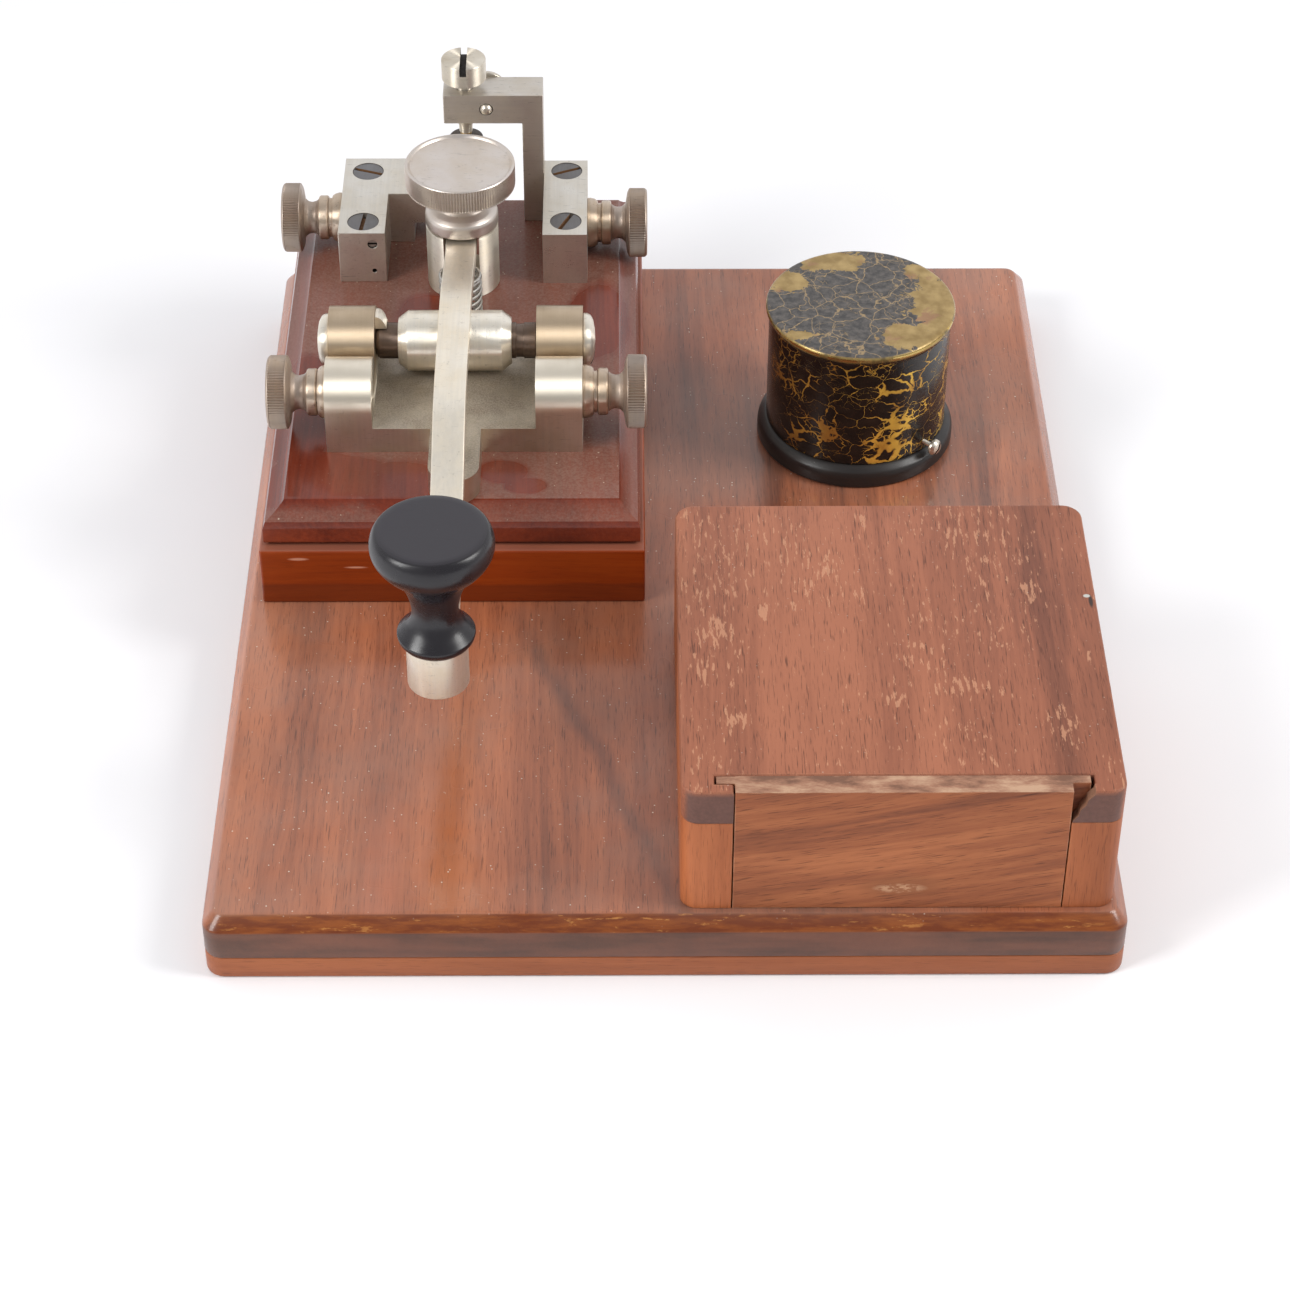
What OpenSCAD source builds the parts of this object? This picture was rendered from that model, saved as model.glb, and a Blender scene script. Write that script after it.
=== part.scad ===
// Morse practice set: a straight key on its own moulded base, a round buzzer and a
// battery box with a sliding door, all on one laminated board.
// Frame: origin at the centre of the board's underside, +X to the box side, +Y to the
// back, +Z up. All lengths in millimetres.

/* [Board] */
// width of the board
board_w = 215; // [200:0.5:230]
// depth of the board
board_d = 269.6; // [250:0.2:290]
// thickness of the lower layer
board_low = 6.4; // [5:0.1:8]
// thickness of the upper layer
board_up = 11.6; // [9:0.1:14]
// inset of the bevel round the top
bevel_in = 2.9; // [1:0.1:4]
// drop of the bevel round the top
bevel_drop = 3.5; // [1:0.1:5]
// radius of the board's upright corners
board_r = 4.5; // [2:0.5:8]

/* [Key base] */
// centre line of the key
key_x = -53; // [-60:0.1:-45]
// width of the key base's lower block
kb_w = 98; // [90:0.5:105]
// front face of the key base's lower block
kb_y0 = -19.7; // [-25:0.1:-10]
// back face of the key base's lower block
kb_y1 = 133; // [125:0.1:134]
// height of the lower block
kb_low = 17; // [14:0.1:20]
// side inset of the moulding from the block
mould_side = 1.2; // [0.5:0.1:3]
// front inset of the moulding from the block
mould_front = 2.3; // [0.5:0.1:3]
// height of the moulding's upright nose
nose_h = 4.8; // [3:0.1:7]
// inset of the top face from the nose
top_in = 5.6; // [4:0.1:8]
// radius of the moulding's cove
cove_r = 14; // [10:0.5:20]

/* [Trunnion frame] */
// width over both posts
tr_w = 65.8; // [60:0.2:72]
// thickness of each post
post_t = 12; // [9:0.1:14]
// front face of the frame
tr_y = 7.2; // [5:0.1:10]
// radius of each rounded post top
boss_r = 9.1; // [8:0.05:10]
// height of the front terminal axis over the wood
term_up = 12.5; // [11:0.1:14]
// height of the lever's axis over the wood
axis_up = 15.7; // [15:0.05:17]
// height of the web and tongue
web_h = 7.4; // [6:0.1:8]
// width of the tongue
tongue_w = 13; // [11:0.1:15]
// journal radius of the axle
journal_r = 2.5; // [2:0.05:3]
// running clearance of the journals, radial
run_c = 0.04; // [0.01:0.01:0.1]
// radius of the dark axle between hub and posts
axle_r = 4.7; // [4:0.1:5]
// radius of the hub
hub_r = 7.9; // [7:0.1:8]
// length of the hub
hub_l = 29.4; // [26:0.1:32]

/* [Lever] */
// width of the lever
lever_w = 8.2; // [7:0.1:10]
// thickness of the lever
lever_t = 3.7; // [3:0.1:5]
// position of the knob along Y
knob_y = -86; // [-95:0.5:-75]
// height of the lever's land under the knob
land_z = 49.6; // [46:0.1:54]

/* [Rear pillars] */
// height of the two rear blocks over the wood
block_h = 15.8; // [14:0.1:18]
// centre of the spring barrel along Y
barrel_y = 85.5; // [80:0.1:90]
// radius of the spring barrel
barrel_r = 9.8; // [9:0.1:11]
// height of the spring barrel over the wood
barrel_h = 18.6; // [17:0.1:20]
// width of the slot through the spring barrel
slot_w = 9.6; // [9:0.1:11]
// centre of the overhead contact screw along Y
stop_y = 119.5; // [115:0.1:122]
// sideways centre of the overhead contact screw
stop_x = -52.8; // [-55:0.1:-50]
// open gap between the overhead contact and the lever
contact_gap = 0.9; // [0.3:0.1:1.5]

/* [Terminals] */
// height of the rear left terminal axis over the wood
left_term_up = 8.3; // [7:0.1:9]
// rear left terminal axis along Y
left_term_y = 103.8; // [98:0.1:108]
// height of the rear right terminal axis over the wood
right_term_up = 7.6; // [7:0.1:9]
// rear right terminal axis along Y
right_term_y = 102; // [98:0.1:108]
// radius of the knurled heads
head_r = 9.5; // [8:0.1:11]

/* [Buzzer] */
// centre of the buzzer along X
bz_x = 53.8; // [50:0.1:57]
// centre of the buzzer along Y
bz_y = 53.7; // [50:0.1:58]
// radius of the buzzer's base
bz_base_r = 26.5; // [24:0.1:29]
// height of the buzzer's base
bz_base_h = 6.2; // [5:0.1:8]
// outer radius of the cap's wall
cap_r = 24.2; // [22:0.1:26]
// outer radius of the cap's rolled rim
cap_rim_r = 25.2; // [23:0.1:27]
// height of the cap's top over the board
cap_top = 42.1; // [36:0.1:46]
// wall of the cap
cap_wall = 0.8; // [0.5:0.1:1.5]

/* [Battery box] */
// left side of the box
bx0 = 3.4; // [0:0.1:8]
// right side of the box
bx1 = 104; // [100:0.1:106]
// front of the box
by0 = -130.4; // [-133:0.1:-125]
// back of the box
by1 = -26; // [-30:0.1:-20]
// height of the box
box_h = 36.6; // [30:0.1:45]
// thickness of the box's top board
box_top = 9.6; // [6:0.1:12]
// thickness of the box's side boards
box_side = 12; // [9:0.1:14]
// thickness of the door
door_t = 5.6; // [4:0.1:8]
// reach of the door's tongues
door_ear = 4.2; // [3:0.1:6]
// radius of the box's upright corners
box_r = 4; // [2:0.5:8]

/* [Hidden] */
$fn = 96;
e = 0.01;
bt = board_low + board_up;
kb_x0 = key_x + 0.1 - kb_w / 2;
kb_x1 = kb_x0 + kb_w;
kb_z1 = bt + kb_low;
fillet_h = 0.8;
nose_z1 = kb_z1 + fillet_h + nose_h;
cove_dt = 5.32;
cove_dh = 14.17;
nose_round_in = 0.65;
nose_round_up = 1.5;
wt = nose_z1 + 5.4;
axis_y = tr_y + 3 * boss_r;
axis_z = wt + axis_up;
term_y = tr_y + boss_r;
term_z = wt + term_up;
tr_x0 = key_x + 0.3 - tr_w / 2;
tr_x1 = tr_x0 + tr_w;
gap_x0 = tr_x0 + post_t;
gap_x1 = tr_x1 - post_t;
web_z = wt + web_h;
tongue_x = key_x + 0.7;
tongue_y = -8.2;
anvil_y = -6.4;
block_z = wt + block_h;
lb_x0 = -86.9;
lb_x1 = -74.1;
lb_y0 = 84.5;
lb_y1 = 122.3;
bar_y = 104.1;
bar_x1 = -46.2;
bar_relief = -67.4;
relief_h = 6.2;
rb_x0 = -31.2;
rb_x1 = -19.1;
rb_y0 = 83.6;
rb_y1 = 121;
screw_y = [90.3, 115.6];
left_screw_x = -80.3;
right_screw_x = -24.9;
csk_r = 4.2;
csk_h = 2.3;
shank_r = 2;
pilot_z = 27;
neck_x0 = -37;
neck_y0 = 114.5;
neck_y1 = 124.5;
arm_x0 = -58.6;
arm_z0 = 77.8;
arm_z1 = 86.7;
stop_r = 2.4;
clamp_x = -46.8;
clamp_z = 82.3;
pip_z = wt + block_h + 0.3;
rear_top = 66.1;
disc_z = 71;
stop_z = disc_z + contact_gap;
barrel_z = wt + barrel_h;
stud_r = 1.9;
left_term_z = wt + left_term_up;
right_term_z = wt + right_term_up;
spring_z0 = 64.3;
spring_z1 = 69.3;
pull_y = 67;
pull_r = 5.3;
pull_z1 = 60.6;
base_z1 = bt + bz_base_h;
cap_z1 = bt + cap_top;
box_z1 = bt + box_h;
deck_z = box_z1 - box_top;
door_x0 = bx0 + box_side + 0.1;
door_x1 = bx1 - box_side - 0.4;
ear_t = 2.4;
ear_y0 = by0 + 3.1;
slide_c = 0.3;
mid_x = (bx0 + bx1) / 2;
strip_x = [mid_x - 13, mid_x + 13];
hold_points = [[key_x - 36, 0], [key_x + 36, 0], [key_x - 36, 112], [key_x + 36, 112]];
box_screw_points = [[bx0 + 6, -112], [bx0 + 6, -45], [bx1 - 6, -112], [bx1 - 6, -45]];
core_x = [bz_x - 8.4, bz_x + 8.4];
deck = base_z1 + 4.6;
reed_x = bz_x - 14.3;
cap_screw_a = -44;
cap_screw_z = base_z1 + 2.4;
lever_end_y = -85;
land_t = 3;
washer_x = 3.9;
nut_x = 6.65;

// smooth curve through points, n steps per span
function cr(p0, p1, p2, p3, t) = 0.5 * ((2 * p1) + (p2 - p0) * t
  + (2 * p0 - 5 * p1 + 4 * p2 - p3) * t * t + (3 * p1 - p0 - 3 * p2 + p3) * t * t * t);
function at(p, i) = p[max(0, min(len(p) - 1, i))];
function smooth_path(p, n) = [for (i = [0:len(p) - 2]) for (k = [0:n - 1])
  cr(at(p, i - 1), p[i], p[i + 1], at(p, i + 2), k / n), p[len(p) - 1]];

// plate with four round upright corners
module round_plate(x0, x1, y0, y1, z0, z1, r) {
  translate([0, 0, z0]) linear_extrude(z1 - z0) {
    translate([x0 + r, y0]) square([x1 - x0 - 2 * r, y1 - y0]);
    translate([x0, y0 + r]) square([x1 - x0, y1 - y0 - 2 * r]);
    for (x = [x0 + r, x1 - r]) for (y = [y0 + r, y1 - r]) translate([x, y]) circle(r);
  }
}

// block between two corners
module block(x0, x1, y0, y1, z0, z1) {
  translate([x0, y0, z0]) cube([x1 - x0, y1 - y0, z1 - z0]);
}

// cylinder along X between two stations
module xcyl(x0, x1, y, z, r) {
  translate([x0, y, z]) rotate([0, 90, 0]) cylinder(h = x1 - x0, r = r);
}

// cylinder along Y between two stations
module ycyl(y0, y1, x, z, r) {
  translate([x, y1, z]) rotate([90, 0, 0]) cylinder(h = y1 - y0, r = r);
}

// upright cylinder
module zcyl(z0, z1, x, y, r) {
  translate([x, y, z0]) cylinder(h = z1 - z0, r = r);
}

// upright sections drawn in the YZ plane and run along X
module along_x(x0, x1) {
  translate([x0, 0, 0]) rotate([90, 0, 90]) linear_extrude(x1 - x0) children();
}

// upright sections drawn in the XZ plane and run along Y
module along_y(y0, y1) {
  translate([0, y1, 0]) rotate([90, 0, 0]) linear_extrude(y1 - y0) children();
}

// board section with its top bevel, centred
module board_section(w) {
  polygon([[-w / 2, board_low], [w / 2, board_low], [w / 2, bt - bevel_drop], [w / 2 - bevel_in, bt],
    [-w / 2 + bevel_in, bt], [-w / 2, bt - bevel_drop]]);
}

// lower layer section with a small chamfer underneath, centred
module lower_section(w) {
  polygon([[-w / 2 + 0.8, 0], [w / 2 - 0.8, 0], [w / 2, 0.8], [w / 2, board_low], [-w / 2, board_low],
    [-w / 2, 0.8]]);
}

module board_screw_holes(z0, z1, r) {
  for (p = hold_points) zcyl(z0, z1, p[0], p[1], r);
}

module board_lower() {
  color([0.62, 0.36, 0.22]) difference() {
    intersection() {
      round_plate(-board_w / 2, board_w / 2, -board_d / 2, board_d / 2, 0, board_low, board_r);
      along_y(-board_d / 2, board_d / 2) lower_section(board_w);
      along_x(-board_w / 2, board_w / 2) lower_section(board_d);
    }
    for (p = hold_points) translate([p[0], p[1], -e]) cylinder(h = 3.5, r1 = 4.5, r2 = shank_r);
    for (p = box_screw_points) translate([p[0], p[1], -e]) cylinder(h = 3.5, r1 = 4.5, r2 = shank_r);
    for (p = hold_points) zcyl(1, board_low + 1, p[0], p[1], shank_r);
    for (p = box_screw_points) zcyl(1, board_low + 1, p[0], p[1], shank_r);
  }
}

module board_upper() {
  color([0.6, 0.32, 0.2]) difference() {
    intersection() {
      round_plate(-board_w / 2, board_w / 2, -board_d / 2, board_d / 2, board_low, bt, board_r);
      along_y(-board_d / 2, board_d / 2) board_section(board_w);
      along_x(-board_w / 2, board_w / 2) board_section(board_d);
    }
    for (p = hold_points) zcyl(board_low - 1, bt + 1, p[0], p[1], shank_r);
    for (p = box_screw_points) zcyl(board_low - 1, bt + 1, p[0], p[1], shank_r);
  }
}

module key_base_block() {
  color([0.5, 0.16, 0.08]) difference() {
    block(kb_x0, kb_x1, kb_y0, kb_y1, bt, kb_z1);
    for (p = hold_points) zcyl(bt - 1, bt + 12, p[0], p[1], shank_r);
    for (y = screw_y) for (x = [left_screw_x, right_screw_x]) zcyl(pilot_z, kb_z1 + 1, x, y, shank_r);
  }
}

// half-open moulding section between two noses
module mould_section(n0, n1) {
  difference() {
    polygon([[n0 + 1, kb_z1], [n1 - 1, kb_z1], [n1 - 1, kb_z1 + fillet_h], [n1, kb_z1 + fillet_h],
      [n1, nose_z1], [n1 - nose_round_in, nose_z1 + nose_round_up], [n1 - top_in, wt],
      [n0 + top_in, wt], [n0 + nose_round_in, nose_z1 + nose_round_up], [n0, nose_z1],
      [n0, kb_z1 + fillet_h], [n0 + 1, kb_z1 + fillet_h]]);
    translate([n1 + cove_dt, nose_z1 + cove_dh]) circle(cove_r);
    translate([n0 - cove_dt, nose_z1 + cove_dh]) circle(cove_r);
  }
}

module key_base_moulding() {
  color([0.47, 0.14, 0.07]) difference() {
    intersection() {
      along_y(kb_y0, kb_y1) mould_section(kb_x0 + mould_side, kb_x1 - mould_side);
      along_x(kb_x0, kb_x1) mould_section(kb_y0 + mould_front, kb_y1 - mould_front);
    }
    for (y = screw_y) for (x = [left_screw_x, right_screw_x]) zcyl(kb_z1 - 1, wt + 1, x, y, shank_r);
  }
}

// side section of a post: two rounded columns
module post_section() {
  translate([term_y, term_z]) circle(boss_r);
  translate([tr_y, wt]) square([2 * boss_r, term_up]);
  translate([axis_y, axis_z]) circle(boss_r);
  translate([tr_y + 2 * boss_r, wt]) square([2 * boss_r, axis_up]);
}

module trunnion_frame() {
  color([0.78, 0.76, 0.7]) difference() {
    union() {
      for (x = [tr_x0, gap_x1]) along_x(x, x + post_t) post_section();
      block(tr_x0, tr_x1, tr_y, tr_y + 4 * boss_r, wt, web_z);
      block(tongue_x - tongue_w / 2, tongue_x + tongue_w / 2, tongue_y, tr_y + 1, wt, web_z);
      zcyl(wt, web_z, tongue_x, tongue_y, tongue_w / 2);
    }
    xcyl(tr_x0 - 1, tr_x1 + 1, axis_y, axis_z, journal_r + run_c);
    xcyl(tr_x0 - 1, tr_x0 + 8, term_y, term_z, stud_r);
    xcyl(tr_x1 - 8, tr_x1 + 1, term_y, term_z, stud_r);
    zcyl(wt + 2, web_z + 1, key_x, anvil_y, 1.5);
  }
}

module front_anvil() {
  color([0.82, 0.8, 0.72]) {
    zcyl(web_z, 62.9, key_x, anvil_y, 2.6);
    zcyl(wt + 2.2, web_z + 1, key_x, anvil_y, 1.48);
  }
}

// upper rear quarter of a domed collar, standing on the post beside the axle
module axle_lock_ring() {
  color([0.82, 0.8, 0.74]) intersection() {
    translate([gap_x0 + 0.02, axis_y, axis_z]) rotate([0, 90, 0])
      rotate_extrude() polygon([[axle_r + 0.3, 0], [8.6, 0], [8.3, 1], [7.2, 2.1], [axle_r + 0.3, 3]]);
    block(gap_x0, gap_x0 + 4, axis_y - 1.5, axis_y + 10, axis_z, axis_z + 10);
  }
}

// domed slotted screw: s = 1 for the right side, -1 for the left
module bearing_screw(s) {
  x = s > 0 ? tr_x1 : tr_x0;
  color([0.84, 0.82, 0.76]) difference() {
    translate([x, axis_y, axis_z]) rotate([0, 90 * s, 0]) rotate_extrude()
      polygon([[0, -2.6], [journal_r, -2.6], [journal_r, 0.1], [7.1, 0.1], [7.1, 1.1], [6.6, 2],
        [5.3, 2.7], [3, 3.1], [0, 3.2]]);
    translate([x + s * 3.1, axis_y, axis_z]) rotate([35, 0, 0]) cube([2.2, 16, 1.1], center = true);
  }
}

module bearing_screw_left() {
  bearing_screw(-1);
}

module bearing_screw_right() {
  bearing_screw(1);
}

// countersunk hole for a block screw
module csk_hole(x, y, z) {
  zcyl(wt - 1, z + 1, x, y, shank_r + 0.1);
  translate([x, y, z - csk_h]) cylinder(h = csk_h + e, r1 = shank_r + 0.1, r2 = csk_r + 0.12);
}

module anvil_block() {
  color([0.78, 0.77, 0.74]) difference() {
    union() {
      block(lb_x0, lb_x1, lb_y0, lb_y1, wt, block_z);
      block(lb_x1 - 1, bar_x1, bar_y, lb_y1, wt, block_z);
    }
    block(bar_relief, bar_x1 + 1, bar_y - 1, lb_y1 + 1, wt - 1, wt + relief_h);
    for (y = screw_y) csk_hole(left_screw_x, y, block_z);
    xcyl(lb_x0 - 1, lb_x0 + 8, left_term_y, left_term_z, stud_r);
    ycyl(lb_y0 - 1, lb_y0 + 4, -77.6, wt + 12.2, 1.3);
    ycyl(lb_y0 - 1, lb_y0 + 2, -77.4, wt + 3.6, 0.6);
    zcyl(block_z - 3, block_z + 1, stop_x, stop_y, 1.4);
  }
}

module rear_anvil() {
  color([0.8, 0.76, 0.62]) {
    zcyl(block_z, pip_z, stop_x, stop_y, 2.6);
    zcyl(block_z - 2.8, block_z + 0.1, stop_x, stop_y, 1.38);
  }
}

module gooseneck_block() {
  color([0.78, 0.77, 0.74]) difference() {
    block(rb_x0, rb_x1, rb_y0, rb_y1, wt, block_z);
    for (y = screw_y) csk_hole(right_screw_x, y, block_z);
    xcyl(rb_x1 - 8, rb_x1 + 1, right_term_y, right_term_z, stud_r);
  }
}

module gooseneck_arm() {
  color([0.74, 0.73, 0.7]) difference() {
    union() {
      block(neck_x0, rb_x0, neck_y0, neck_y1, wt, arm_z1);
      block(arm_x0, neck_x0 + 1, neck_y0, neck_y1, arm_z0, arm_z1);
    }
    zcyl(arm_z0 - 1, arm_z1 + 1, stop_x, stop_y, stop_r + 0.06);
    ycyl(neck_y0 - 1, neck_y1 + 1, clamp_x, clamp_z, 1.8);
  }
}

// countersunk wood screw with a slot turned by a
module csk_screw(x, y, z, a) {
  difference() {
    union() {
      translate([x, y, z - csk_h]) cylinder(h = csk_h - 0.1, r1 = shank_r - 0.15, r2 = csk_r);
      zcyl(pilot_z + 0.5, z - csk_h + 0.2, x, y, shank_r - 0.15);
    }
    translate([x, y, z]) rotate([0, 0, a]) cube([2 * csk_r + 2, 1.1, 2.2], center = true);
  }
}

module block_screws() {
  color([0.3, 0.3, 0.33]) {
    csk_screw(left_screw_x, screw_y[1], block_z, -20);
    csk_screw(left_screw_x, screw_y[0], block_z, 84);
    csk_screw(right_screw_x, screw_y[1], block_z, 24);
    csk_screw(right_screw_x, screw_y[0], block_z, 66);
  }
}

module grub_screws() {
  color([0.5, 0.49, 0.46]) difference() {
    ycyl(lb_y0 + 0.4, lb_y0 + 3.6, -77.6, wt + 12.2, 1.25);
    block(-79.2, -76, lb_y0, lb_y0 + 1.1, wt + 11.9, wt + 12.5);
  }
}

module spring_barrel() {
  color([0.8, 0.78, 0.74]) difference() {
    zcyl(wt, barrel_z, key_x, barrel_y, barrel_r);
    zcyl(wt + 4, barrel_z + 1, key_x, barrel_y, 6.4);
    block(key_x - slot_w / 2, key_x + slot_w / 2, barrel_y - 12, barrel_y + 12, wt + 2, barrel_z + 1);
    zcyl(wt - 1, wt + 3, key_x, barrel_y, stud_r);
  }
}

module tension_stud() {
  color([0.55, 0.54, 0.5]) union() {
    zcyl(wt + 0.2, 80, key_x, barrel_y, stud_r - 0.04);
    zcyl(wt + 2, wt + 4.2, key_x, barrel_y, 3.4);
  }
}

// fixed part of a terminal: rounded collar of length c, a dark shoulder of length g and the
// stud reaching out by l, s = 1 to the right
module term_stud(x, y, z, s, c, g, l) {
  translate([x, y, z]) rotate([0, 90 * s, 0]) rotate_extrude() polygon([[0, -7.5], [stud_r - 0.04, -7.5],
    [stud_r - 0.04, 0], [6.8, 0], [6.9, 0.3 * c], [6.6, 0.7 * c], [6.1, c - 0.1], [5.4, c],
    [5.4, c + g], [stud_r - 0.04, c + g], [stud_r - 0.04, l], [0, l]]);
}

module terminal_studs() {
  color([0.8, 0.76, 0.68]) {
    term_stud(tr_x0, term_y, term_z, -1, 2.1, 0.1, 11.4);
    term_stud(tr_x1, term_y, term_z, 1, 2.9, 0.95, 13);
    term_stud(lb_x0, left_term_y, left_term_z, -1, 2.9, 0.95, 13);
    term_stud(rb_x1, right_term_y, right_term_z, 1, 2.9, 0.95, 13);
  }
}

// round washer standing on the face at x
module term_washer(x, y, z, s) {
  color([0.78, 0.75, 0.7]) translate([x, y, z]) rotate([0, 90 * s, 0]) rotate_extrude()
    polygon([[stud_r + 0.03, 0], [5.8, 0], [6.1, 0.3], [6.1, 2.3], [5.7, 2.7], [stud_r + 0.03, 2.7]]);
}

// thumb nut standing on the face at nx: waisted neck and a knurled head
module term_nut(nx, y, z, s) {
  grooves = 60;
  color([0.62, 0.56, 0.5]) difference() {
    translate([nx, y, z]) rotate([0, 90 * s, 0]) rotate_extrude() polygon([[stud_r + 0.03, 0], [5.2, 0],
      [4.6, 0.7], [4.3, 1.8], [4.5, 2.9], [5.4, 3.9], [8.4, 4.4], [head_r, 5.1], [head_r, 9.3],
      [head_r - 0.7, 9.9], [0, 9.9], [0, 6.9], [stud_r + 0.03, 6.9]]);
    for (i = [0:grooves - 1]) translate([nx, y, z]) rotate([i * 360 / grooves, 0, 0])
      translate([s * 7.2, 0, head_r + 0.25]) rotate([45, 0, 0]) cube([5.6, 0.7, 0.7], center = true);
  }
}

module washer_front_left() {
  term_washer(tr_x0 - 2.25, term_y, term_z, -1);
}

module nut_front_left() {
  term_nut(tr_x0 - 5, term_y, term_z, -1);
}

module washer_front_right() {
  term_washer(tr_x1 + washer_x, term_y, term_z, 1);
}

module nut_front_right() {
  term_nut(tr_x1 + nut_x, term_y, term_z, 1);
}

module washer_rear_left() {
  term_washer(lb_x0 - washer_x, left_term_y, left_term_z, -1);
}

module nut_rear_left() {
  term_nut(lb_x0 - nut_x, left_term_y, left_term_z, -1);
}

module washer_rear_right() {
  term_washer(rb_x1 + washer_x, right_term_y, right_term_z, 1);
}

module nut_rear_right() {
  term_nut(rb_x1 + nut_x, right_term_y, right_term_z, 1);
}

// screws up through the board into the key base
module key_hold_screws() {
  color([0.45, 0.44, 0.42]) for (p = hold_points) difference() {
    union() {
      translate([p[0], p[1], 0.3]) cylinder(h = 3, r1 = 4, r2 = shank_r - 0.1);
      zcyl(1, bt + 11, p[0], p[1], shank_r - 0.1);
    }
    translate([p[0], p[1], 0]) rotate([0, 0, 30]) cube([10, 1, 2.2], center = true);
  }
}

lever_curve = smooth_path([[-79, land_z], [-66, 51.5], [-46, 55.6], [-30, 59.6], [-20, 62.9],
  [-11, 66.6], [-3, 69.2], [6, 70.2], [16, 70.3], [28, 70.2], [41, 70.2], [50, 69.2], [60, 67],
  [68, 65.2], [76, 64.2], [86, 64.1], [96, 64.4], [103, 65.4], [110, rear_top]], 5);
lever_top = concat([[-92, land_z]], lever_curve, [[124.5, rear_top]]);

module lever() {
  color([0.8, 0.79, 0.72]) difference() {
    intersection() {
      along_x(key_x - lever_w / 2, key_x + lever_w / 2) polygon(concat(lever_top,
        [for (i = [len(lever_top) - 1:-1:0]) lever_top[i] - [0, lever_t]]));
      union() {
        block(key_x - 6, key_x + 6, lever_end_y, 130, 40, 80);
        zcyl(40, 60, key_x, lever_end_y, lever_w / 2);
      }
    }
    block(key_x - 6, key_x + 6, -92, -80, 40, land_z - land_t);
    zcyl(40, 60, key_x, knob_y, 2.02);
    zcyl(55, 75, key_x, barrel_y, 3);
    zcyl(55, 75, stop_x, stop_y, 1.52);
  }
}

module hub() {
  color([0.83, 0.81, 0.74]) difference() {
    translate([key_x - hub_l / 2, axis_y, axis_z]) rotate([0, 90, 0]) rotate_extrude()
      polygon([[axle_r, 0], [6, 0], [hub_r, 2.5], [hub_r, hub_l - 2.5], [6, hub_l], [axle_r, hub_l]]);
    block(key_x - lever_w / 2 - 0.02, key_x + lever_w / 2 + 0.02, axis_y - 10, axis_y + 10,
      70.2 - lever_t - 0.02, 80);
  }
}

module axle() {
  color([0.25, 0.23, 0.22]) {
    xcyl(gap_x0 + 0.25, gap_x1 - 0.25, axis_y, axis_z, axle_r - 0.01);
    xcyl(tr_x0 + 3, gap_x0 + 1, axis_y, axis_z, journal_r);
    xcyl(gap_x1 - 1, tr_x1 - 3, axis_y, axis_z, journal_r);
  }
}

knob_line = smooth_path([[12, 95], [13.2, 94.5], [14.1, 92.8], [14.4, 90.5], [13.8, 88.2], [12, 85.5],
  [9.6, 83], [7.6, 80], [6.3, 76.6], [5.6, 73.2], [5.6, 70.6], [6.6, 68.2], [8.2, 66.2], [9.15, 65.1]], 4);

module knob() {
  color([0.06, 0.06, 0.07]) translate([key_x, knob_y, 0]) rotate_extrude()
    polygon(concat([[0, 95]], knob_line, [[9.2, 64.6], [9, 63.7], [8.4, 62.8], [7.6, 62.2], [5.5, 62],
      [5.5, 51], [2.05, 51], [2.05, 68], [0, 68]]));
}

module knob_ferrule() {
  color([0.85, 0.83, 0.76]) translate([key_x, knob_y, 0]) rotate_extrude()
    polygon([[2.05, land_z + 0.01], [6.9, land_z + 0.01], [7.3, land_z + 0.4], [7.3, 61.7], [7.1, 61.95],
      [5.52, 61.95], [5.52, 50.9], [2.05, 50.9]]);
}

module knob_screw() {
  color([0.6, 0.58, 0.55]) difference() {
    zcyl(land_z - land_t + 0.2, 66.8, key_x, knob_y, 2);
    translate([key_x, knob_y, land_z - land_t]) cube([8, 0.8, 1.8], center = true);
  }
}

module rear_contact() {
  color([0.24, 0.23, 0.22]) translate([stop_x, stop_y, 0]) rotate_extrude() polygon([[0, pip_z + 0.02],
    [2.2, pip_z + 0.02], [2.2, rear_top - lever_t], [1.5, rear_top - lever_t], [1.5, rear_top],
    [3, rear_top], [3, 69.6], [4.4, 69.8], [4.8, 70.2], [4.6, 70.7], [2.5, disc_z], [0, disc_z]]);
}

// round wire coil made of rings joined by slanted turns
module coil(x, y, z0, z1, r, wire, turns) {
  step = (z1 - z0 - 2 * wire) / turns;
  for (i = [0:turns]) translate([x, y, z0 + wire + i * step]) rotate_extrude() translate([r, 0]) circle(wire);
  for (i = [0:turns - 1]) translate([x + r * cos(i * 137), y + r * sin(i * 137), z0 + wire + i * step])
    cylinder(h = step, r = wire * 0.9);
}

module pull_spring() {
  color([0.6, 0.58, 0.52]) {
    coil(key_x, pull_y, wt + 0.05, pull_z1, pull_r, 0.5, 8);
  }
}

module spring_cup() {
  color([0.7, 0.6, 0.4]) translate([key_x, barrel_y, 0]) rotate_extrude()
    polygon([[2.2, spring_z1], [5.1, spring_z1], [5.1, spring_z1 + 0.8], [2.2, spring_z1 + 0.8]]);
}

module tension_spring() {
  color([0.6, 0.58, 0.52]) coil(key_x, barrel_y, spring_z0, spring_z1 - 0.05, 4.3, 0.4, 3);
}

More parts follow.
